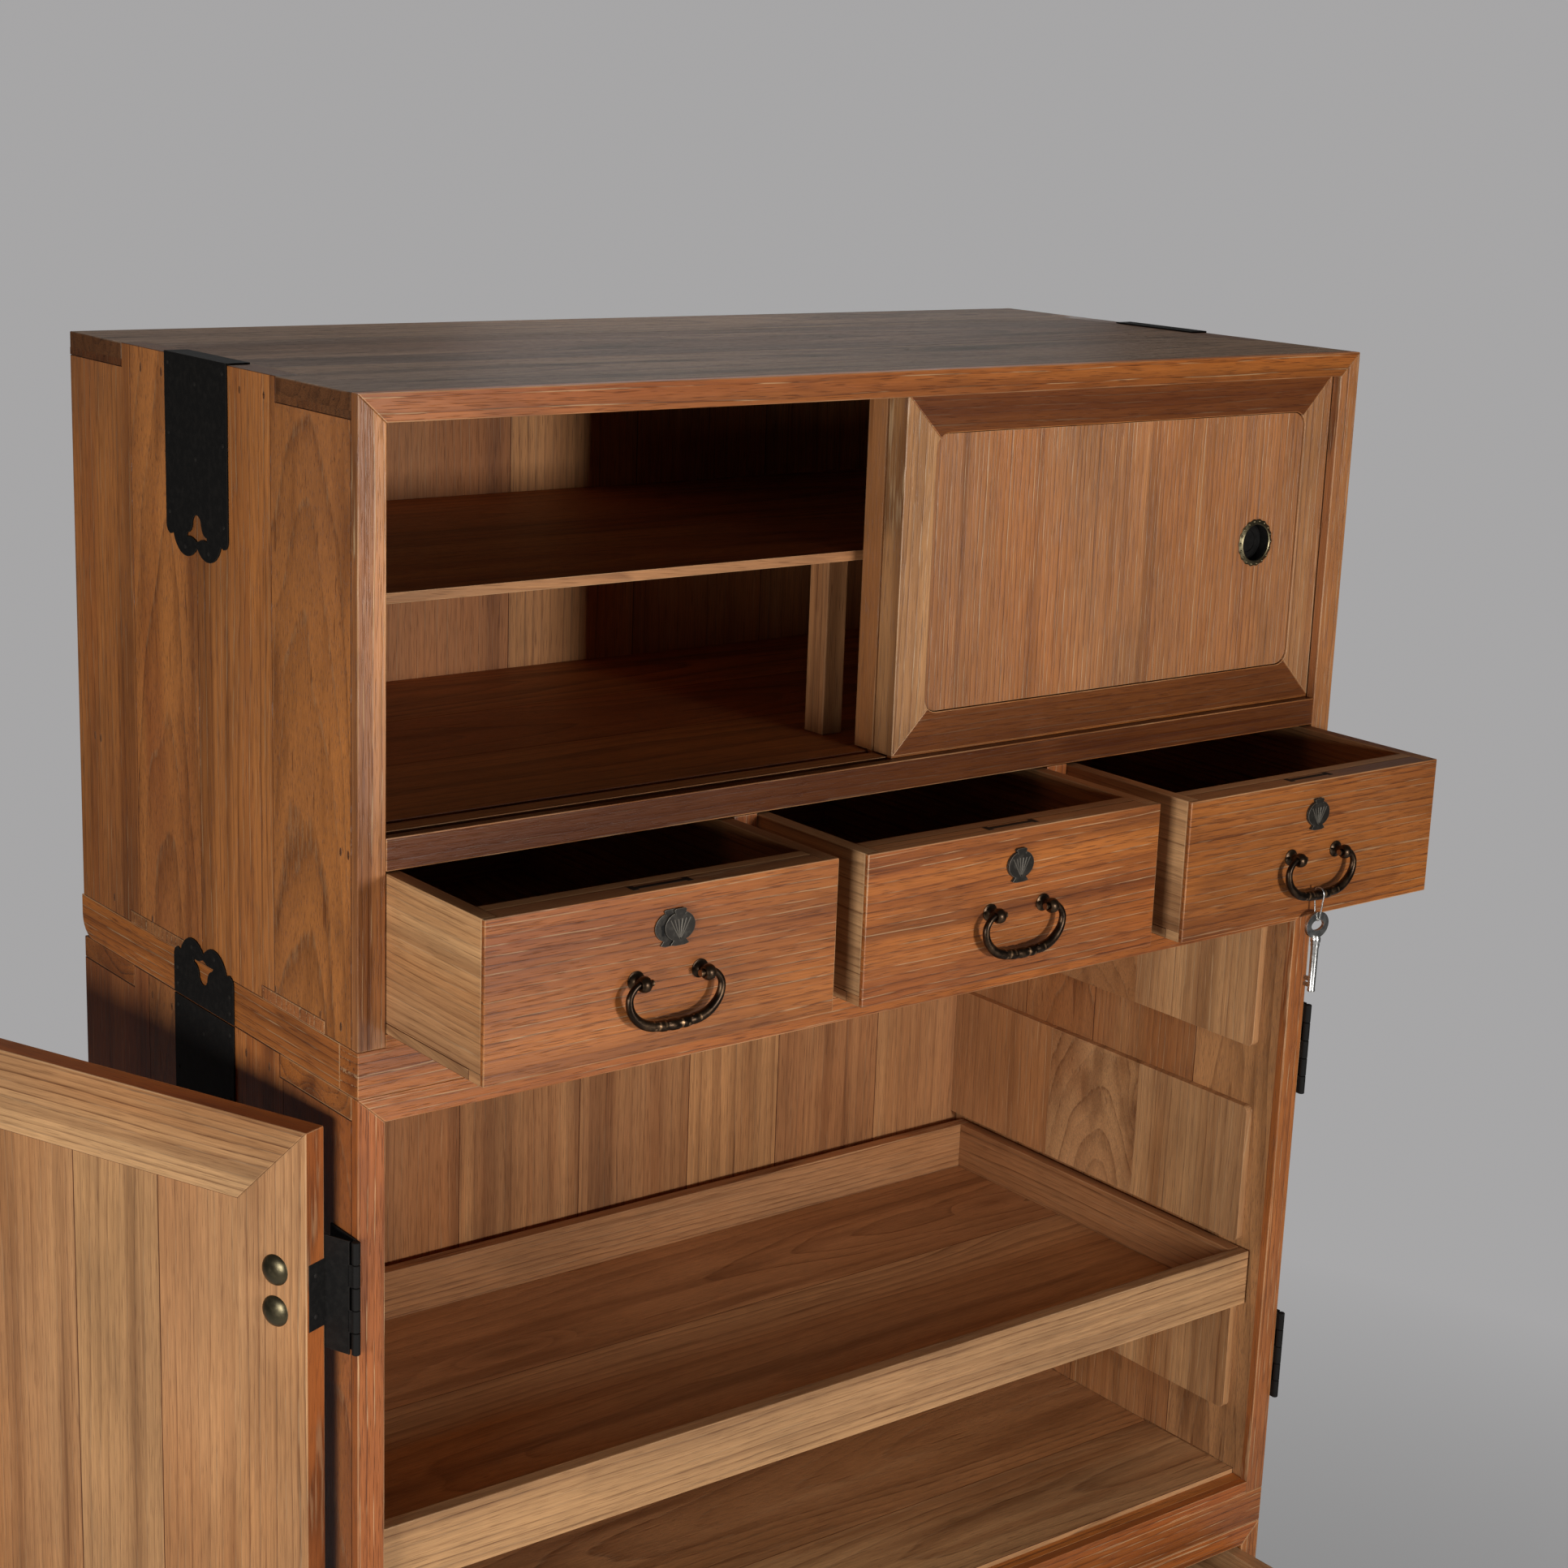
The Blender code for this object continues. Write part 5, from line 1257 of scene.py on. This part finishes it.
def hinge(side, level, centre_z, door_edge, axis, turn):
    """A wrap-round hinge: one leaf on the case's side, one across the stile on to the door."""
    sign = SIDES[side]
    low, high = centre_z - HINGE_H / 2, centre_z + HINGE_H / 2
    pitch = HINGE_H / HINGE_KNUCKLES
    steps = [low + i * pitch for i in range(HINGE_KNUCKLES + 1)]
    spans = [inset(pair, HINGE_KNUCKLE_GAP) for pair in zip(steps, steps[1:])]

    node = f"{side}_{level}_hinge_case_leaf"
    leaf = Piece(f"{node}_sheet", "iron")
    face_x = HALF_W + SEAT + HINGE_SHEET_T
    x = mirrored(sign, HALF_W + SEAT, face_x)
    edge = FRONT + HINGE_SHEET_CLEAR
    leaf.sheet(x, (edge, edge + HINGE_CASE_LEAF_W), (low, high))
    for span in spans[0::2]:
        leaf.sheet(x, (axis.y, edge + HINGE_SHEET_CLEAR), span)
        knuckle(leaf, axis, span)
    for z in inset((low, high), 0.012):
        for y in (edge + 0.012, edge + 0.026):
            leaf.nail("X", sign, Vector((sign * face_x, y, z)), 0.0026)
    leaf.done("iron", node)

    node = f"{side}_{level}_hinge_door_leaf"
    leaf = Piece(f"{node}_sheet", "iron", f"{side}_door", turn)
    y = (FRONT - SEAT - HINGE_SHEET_T, FRONT - SEAT)
    edge = HALF_W - HINGE_SHEET_CLEAR
    leaf.sheet(sorted((door_edge - sign * HINGE_DOOR_FLAP_W, sign * edge)), y, (low, high))
    for span in spans[1::2]:
        leaf.sheet(mirrored(sign, edge - HINGE_SHEET_CLEAR, abs(axis.x)), y, span)
        knuckle(leaf, axis, span)
    tab_x = door_edge + sign * HINGE_TAB_T
    tab_z = (centre_z - HINGE_TAB_H / 2, centre_z + HINGE_TAB_H / 2)
    leaf.sheet(sorted((door_edge, tab_x)), (y[1], FRONT + HINGE_TAB_D), tab_z)
    for z in inset((low, high), 0.014):
        leaf.nail("Y", -1, Vector((door_edge - sign * 0.036, y[0], z)), 0.0028)
    for z in (centre_z - 0.016, centre_z + 0.016):
        leaf.nail("X", sign, Vector((tab_x, FRONT + 0.010, z)), 0.0020)
    leaf.done("iron", node)


def knuckle(leaf, axis, span):
    r, ease = HINGE_KNUCKLE_R, 0.0004
    low, high = span
    profile = [(0.0, low), (r - ease, low), (r, low + ease), (r, high - ease), (r - ease, high), (0.0, high)]
    leaf.lathe(profile, "Z", axis, 20, 0.1)


def strap_outline(length):
    """Half-width and depth below the straight end: two lobes meet in a cusp between small ears."""
    half = STRAP_W / 2
    ear_r, notch_u, notch_h, lobe_u, lobe_h = 0.0070, 0.0385, 0.0148, 0.0175, 0.0085
    start = length - notch_h - ear_r + 0.0015
    points = [(half, 0.0)] + quarter(half - ear_r, start, ear_r, 0.0)
    points += arc(((notch_u, length - notch_h), (lobe_u, length), (0.0, length - lobe_h)))
    return points + [(-u, v) for u, v in reversed(points[:-1])]


def strap_piercing(length):
    """The bell-shaped opening above the cusp."""
    neck = 0.0075
    top = length - 0.0255
    points = arc(((neck, top), (0.0098, length - 0.0208), (0.0160, length - 0.0180)), 5)
    points += arc(((0.0170, length - 0.0150), (0.0088, length - 0.0155), (0.0, length - 0.0125)), 5)
    left = [(-u, v) for u, v in reversed(points[:-1])]
    crown = arc(((-neck, top), (0.0, top - neck), (neck, top)), 8)
    return points + left[:-1] + crown[:-1]


def strap(node, sign, hangs):
    """An iron strap on a case side, with its nails; it hangs from its straight end or stands on it."""
    piece = Piece(f"{node}_sheet", "iron")
    low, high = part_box(node)
    length = high.z - low.z
    centre = (low.y + high.y) / 2
    face_x = HALF_W + SEAT + STRAP_T

    def laid(points):
        return [(centre + u, high.z - v if hangs else low.z + v) for u, v in points]

    x = mirrored(sign, HALF_W + SEAT, face_x)
    piece.plate(laid(strap_outline(length)), "X", *x, holes=[laid(strap_piercing(length))])
    spots = [(-0.044, 0.008), (0.044, 0.008), (-0.044, length - 0.030), (0.044, length - 0.030),
             (-0.019, length - 0.007), (0.019, length - 0.007)]
    if length > 0.1:
        spots += [(-0.044, 0.060), (0.044, 0.060), (0.0, 0.020), (0.0, 0.075)]
    for y, z in laid(spots):
        piece.nail("X", sign, Vector((sign * face_x, y, z)), STRAP_NAIL_R)
    if node.startswith("top_strap"):
        x = mirrored(sign, HALF_W - STRAP_TOP_TAB, HALF_W + SEAT)
        piece.sheet(x, (low.y, high.y), (TOP_Z + SEAT, high.z))
    piece.done("iron", node)


def long_drawer(level, low, high):
    """A full-width drawer with two handles."""
    node = f"{level}_long_drawer"
    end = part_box(node)[1].y
    front_y = end - LONG_DRAWER_D
    wall = LONG_WALL_T
    x0, x1 = inset(OPENING, LONG_CLEAR)
    x, y = inset((x0, x1), wall), inset((front_y, end), wall)
    z = (low + SEAT, high - LONG_HEADROOM)
    raw = LONG_BOX_STAIN
    piece = Piece(f"{node}_boards", "face_wood", node)
    piece.slab((x0, x1), (front_y, y[0]), z, "X", stain=facing("Y", 1, raw, 1.0))
    for limits in ((x0, x[0]), (x[1], x1)):
        piece.slab(limits, (y[0], end), z, "Y", stain=raw)
    piece.slab(x, (y[1], end), z, "X", stain=raw)
    piece.planks(x, y, (z[0], z[0] + DRAWER_BOTTOM_T), "X", "Y", 3, stain=raw)
    piece.done("face_wood", node)
    for side, sign in SIDES.items():
        pivot_z = low + (high - low - BAIL_ABOVE_BOTTOM) / 2 + BAIL_ABOVE_BOTTOM
        centre = Vector((sign * LONG_BAIL_X, front_y - BAIL_STANDOFF, pivot_z))
        bail_eyes(f"{node}_{side}_eyes", node, centre, node)
        bail(f"{node}_{side}_bail", f"{level}_long_{side}_bail", centre)


def lower_case():
    """The bottom case: plinth, planked sides, frame, and its two long drawers."""
    under = LOWER_TOP - TOP_RAIL_H
    sill = BASE_H + LONG_SILL_H
    opening = (under - sill - LONG_RAIL_H) / 2
    spans = {"upper": (under - opening, under), "lower": (sill, sill + opening)}
    plinth = (0.0, BASE_H)
    plinth_back = (FRONT + BASE_RAIL_D, BACK)
    piece = Piece("lower_case_boards", "face_wood")
    top_rail(piece, LOWER_TOP)
    for sign in SIDES.values():
        stile(piece, sign, BASE_H, LOWER_TOP)
        x = mirrored(sign, OPENING_X, HALF_W)
        stain = facing("X", sign, 1.0, 0.2)
        piece.planks(x, (FACE_BACK, BACK), (BASE_H, LOWER_TOP), "Z", "Y", 4, stain=stain)
        piece.slab(x, plinth_back, plinth, "Y")
    piece.slab(WHOLE, (FRONT, FRONT + BASE_RAIL_D), plinth, "X")
    for z in ((BASE_H, sill), (spans["lower"][1], spans["upper"][0])):
        piece.slab(OPENING, FACE, z, "X")
        piece.planks(OPENING, (FACE_BACK, INNER_BACK), z, "X", "Y", 3, stain=0.15)
    piece.planks(OPENING, (FACE_BACK, BACK), (under, LOWER_TOP), "X", "Y", 3, stain=0.3)
    piece.planks(OPENING, (INNER_BACK, BACK), (BASE_H, under), "Z", "X", 7, "rift", 0.5)
    piece.planks(OPENING, plinth_back, plinth, "X", "Y", 4, stain=0.3)
    piece.done("face_wood", "lower_case")
    for level, span in spans.items():
        long_drawer(level, *span)


def side_pegs():
    """Small dark pegs that pin the sides to the tops, floors and bottoms, as they show outside."""
    low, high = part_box("top_strap_left")
    beside_strap = [high.y + 0.008, high.y + 0.043, low.y - 0.018, low.y - 0.055]
    at_floor = [FRONT + 0.013, FRONT + 0.024, BACK - 0.030, BACK - 0.041]
    at_base = [FRONT + 0.024, FRONT + 0.054, FRONT + 0.122, BACK - 0.130, BACK - 0.060]
    rows = [
        (TOP_Z - 0.0155, beside_strap),
        (MIDDLE_TOP - 0.0155, beside_strap),
        (MID_RAIL_TOP - 0.012, at_floor),
        (UPPER_Z + BASE_H + 0.013, at_base),
        (MIDDLE_Z + BASE_H + 0.020, at_base),
    ]
    for side, sign in SIDES.items():
        piece = Piece(f"{side}_side_pegs", "weathered_wood")
        x = mirrored(sign, HALF_W - PEG_DEPTH, HALF_W + PEG_PROUD)
        for z, places in rows:
            for y in places:
                half_h = PEG_HALF_H + piece.dice.uniform(0.0, 0.0010)
                outline = oval(y, z, PEG_HALF_W, half_h, 12)
                piece.drawn(outline, "X", *x, "X", edge=FINE_EDGE, stain=0.0)
        piece.done("weathered_wood")


# Camera of the photograph, in the frame's metres
CAMERA_PLACE = Vector((-1.41618, -1.86019, 1.87329))
CAMERA_YAW = math.radians(-38.316)
CAMERA_PITCH = math.radians(-14.101)
CAMERA_ROLL = math.radians(2.189)
CAMERA_LENS = 63.82


def camera():
    data = bpy.data.cameras.new("camera")
    data.sensor_width = 36.0
    data.lens = CAMERA_LENS
    made = bpy.data.objects.new("camera", data)
    turn = Matrix.Rotation(CAMERA_YAW, 4, "Z") @ Matrix.Rotation(math.pi / 2 + CAMERA_PITCH, 4, "X")
    made.matrix_world = Matrix.Translation(CAMERA_PLACE) @ turn @ Matrix.Rotation(CAMERA_ROLL, 4, "Z")
    bpy.context.scene.collection.objects.link(made)
    bpy.context.scene.camera = made


# Softboxes: place, aim, width and height in metres, and power in watts
SOFTBOXES = {
    "front": ((0.15, -3.05, 1.46), (0.0, 0.0, 1.25), 0.35, 0.30, 41.0),
    "left": ((-1.95, -1.05, 1.15), (-0.3, 0.0, 1.1), 0.8, 0.5, 21.0),
    "low": ((0.45, -2.55, 0.62), (-0.3, -0.2, 1.1), 0.4, 0.6, 5.5),
    "top": ((0.0, 0.70, 3.30), (0.0, 0.0, 1.6), 1.2, 0.8, 20.0),
    "back": ((1.90, 2.40, 1.45), (0.0, 0.0, 0.9), 1.2, 0.9, 16.0),
}


def lights():
    for name, (where, aim, width, height, power) in SOFTBOXES.items():
        data = bpy.data.lights.new(name, "AREA")
        data.shape = "RECTANGLE"
        data.size = width
        data.size_y = height
        data.energy = power
        made = bpy.data.objects.new(name, data)
        made.location = where
        made.rotation_euler = (Vector(aim) - Vector(where)).to_track_quat("-Z", "Y").to_euler()
        made.visible_camera = False
        bpy.context.scene.collection.objects.link(made)


BACKDROP = (0.385, 0.380, 0.383, 1.0)
AMBIENT = (0.010, 0.010, 0.010, 1.0)
MIRRORED = (0.090, 0.090, 0.090, 1.0)


def world():
    """A grey studio: dim to light by, a little brighter in reflections, and grey to look at."""
    made = bpy.data.worlds.new("studio")
    made.use_nodes = True
    bpy.context.scene.world = made
    tree = made.node_tree
    rays = tree.nodes.new("ShaderNodeLightPath")
    shown = None
    for ray, colour in (("Is Glossy Ray", MIRRORED), ("Is Camera Ray", BACKDROP)):
        pick = tree.nodes.new("ShaderNodeMix")
        pick.data_type = "RGBA"
        tree.links.new(rays.outputs[ray], pick.inputs[0])
        pick.inputs[6].default_value = AMBIENT
        pick.inputs[7].default_value = colour
        if shown:
            tree.links.new(shown, pick.inputs[6])
        shown = pick.outputs[2]
    tree.links.new(shown, tree.nodes["Background"].inputs["Color"])


FLOOR_R = 9.0
FLOOR_NEAR = 0.95
FLOOR_FAR = 2.2
FLOOR_DROP = 0.0005
FLOOR_COLOUR = (0.62, 0.62, 0.62, 1.0)


def floor():
    """A pale floor that keeps the shadow and passes into the backdrop further out."""
    mesh = bpy.data.meshes.new("floor")
    bm = bmesh.new()
    bmesh.ops.create_circle(bm, cap_ends=True, radius=FLOOR_R, segments=96)
    bm.to_mesh(mesh)
    bm.free()
    made = bpy.data.objects.new("floor", mesh)
    made.location.z = -FLOOR_DROP
    bpy.context.scene.collection.objects.link(made)
    look = Look("floor")
    look.shader.inputs["Base Color"].default_value = FLOOR_COLOUR
    look.shader.inputs["Roughness"].default_value = 0.8
    reach = look.length(look.node("TexCoord", output="Object"))
    far = look.node("MapRange", Value=reach, **{"From Min": FLOOR_NEAR, "From Max": FLOOR_FAR})
    seen = look.node("LightPath", output="Is Camera Ray")
    glow = look.node("Emission", Color=BACKDROP)
    joined = look.node("MixShader", look.times(far, seen), look.shader.outputs[0], glow)
    look.put(look.tree.nodes["Material Output"].inputs["Surface"], joined)
    mesh.materials.append(look.material)


def build():
    for side in SIDES:
        case_side("upper", side, UPPER_Z, UPPER_FLOOR_Z, TOP_Z)
        case_side("middle", side, MIDDLE_Z, MIDDLE_FLOOR_Z, MIDDLE_TOP, middle_runners())
    case_top("upper", TOP_Z, "weathered_wood", TRACK_FRONTS)
    case_top("middle", MIDDLE_TOP, "face_wood")
    case_base("upper", UPPER_Z, UPPER_FLOOR_Z)
    case_base("middle", MIDDLE_Z, MIDDLE_FLOOR_Z, MIDDLE_FLOOR_Z - SILL_STEP)
    case_back("upper", UPPER_FLOOR_Z, TOP_Z, 0.55)
    case_back("middle", MIDDLE_FLOOR_Z, MIDDLE_TOP, 0.42)
    face_frame("upper", UPPER_Z + BASE_H, TOP_Z, [(MID_RAIL_BOTTOM, MID_RAIL_TOP)])
    face_frame("middle", MIDDLE_Z + BASE_H, MIDDLE_TOP)
    compartment()
    sliding_door("front_sliding_door", 1)
    sliding_door("rear_sliding_door", -1)
    for side in ("left", "middle", "right"):
        small_drawer(side)
    key()
    tray()
    for side in SIDES:
        hinged_door(side)
    for side, sign in SIDES.items():
        strap(f"top_strap_{side}", sign, True)
        strap(f"upper_foot_strap_{side}", sign, False)
        strap(f"middle_head_strap_{side}", sign, True)
    side_pegs()
    lower_case()


build()
camera()
world()
floor()
lights()
bpy.context.scene.view_settings.view_transform = "Standard"
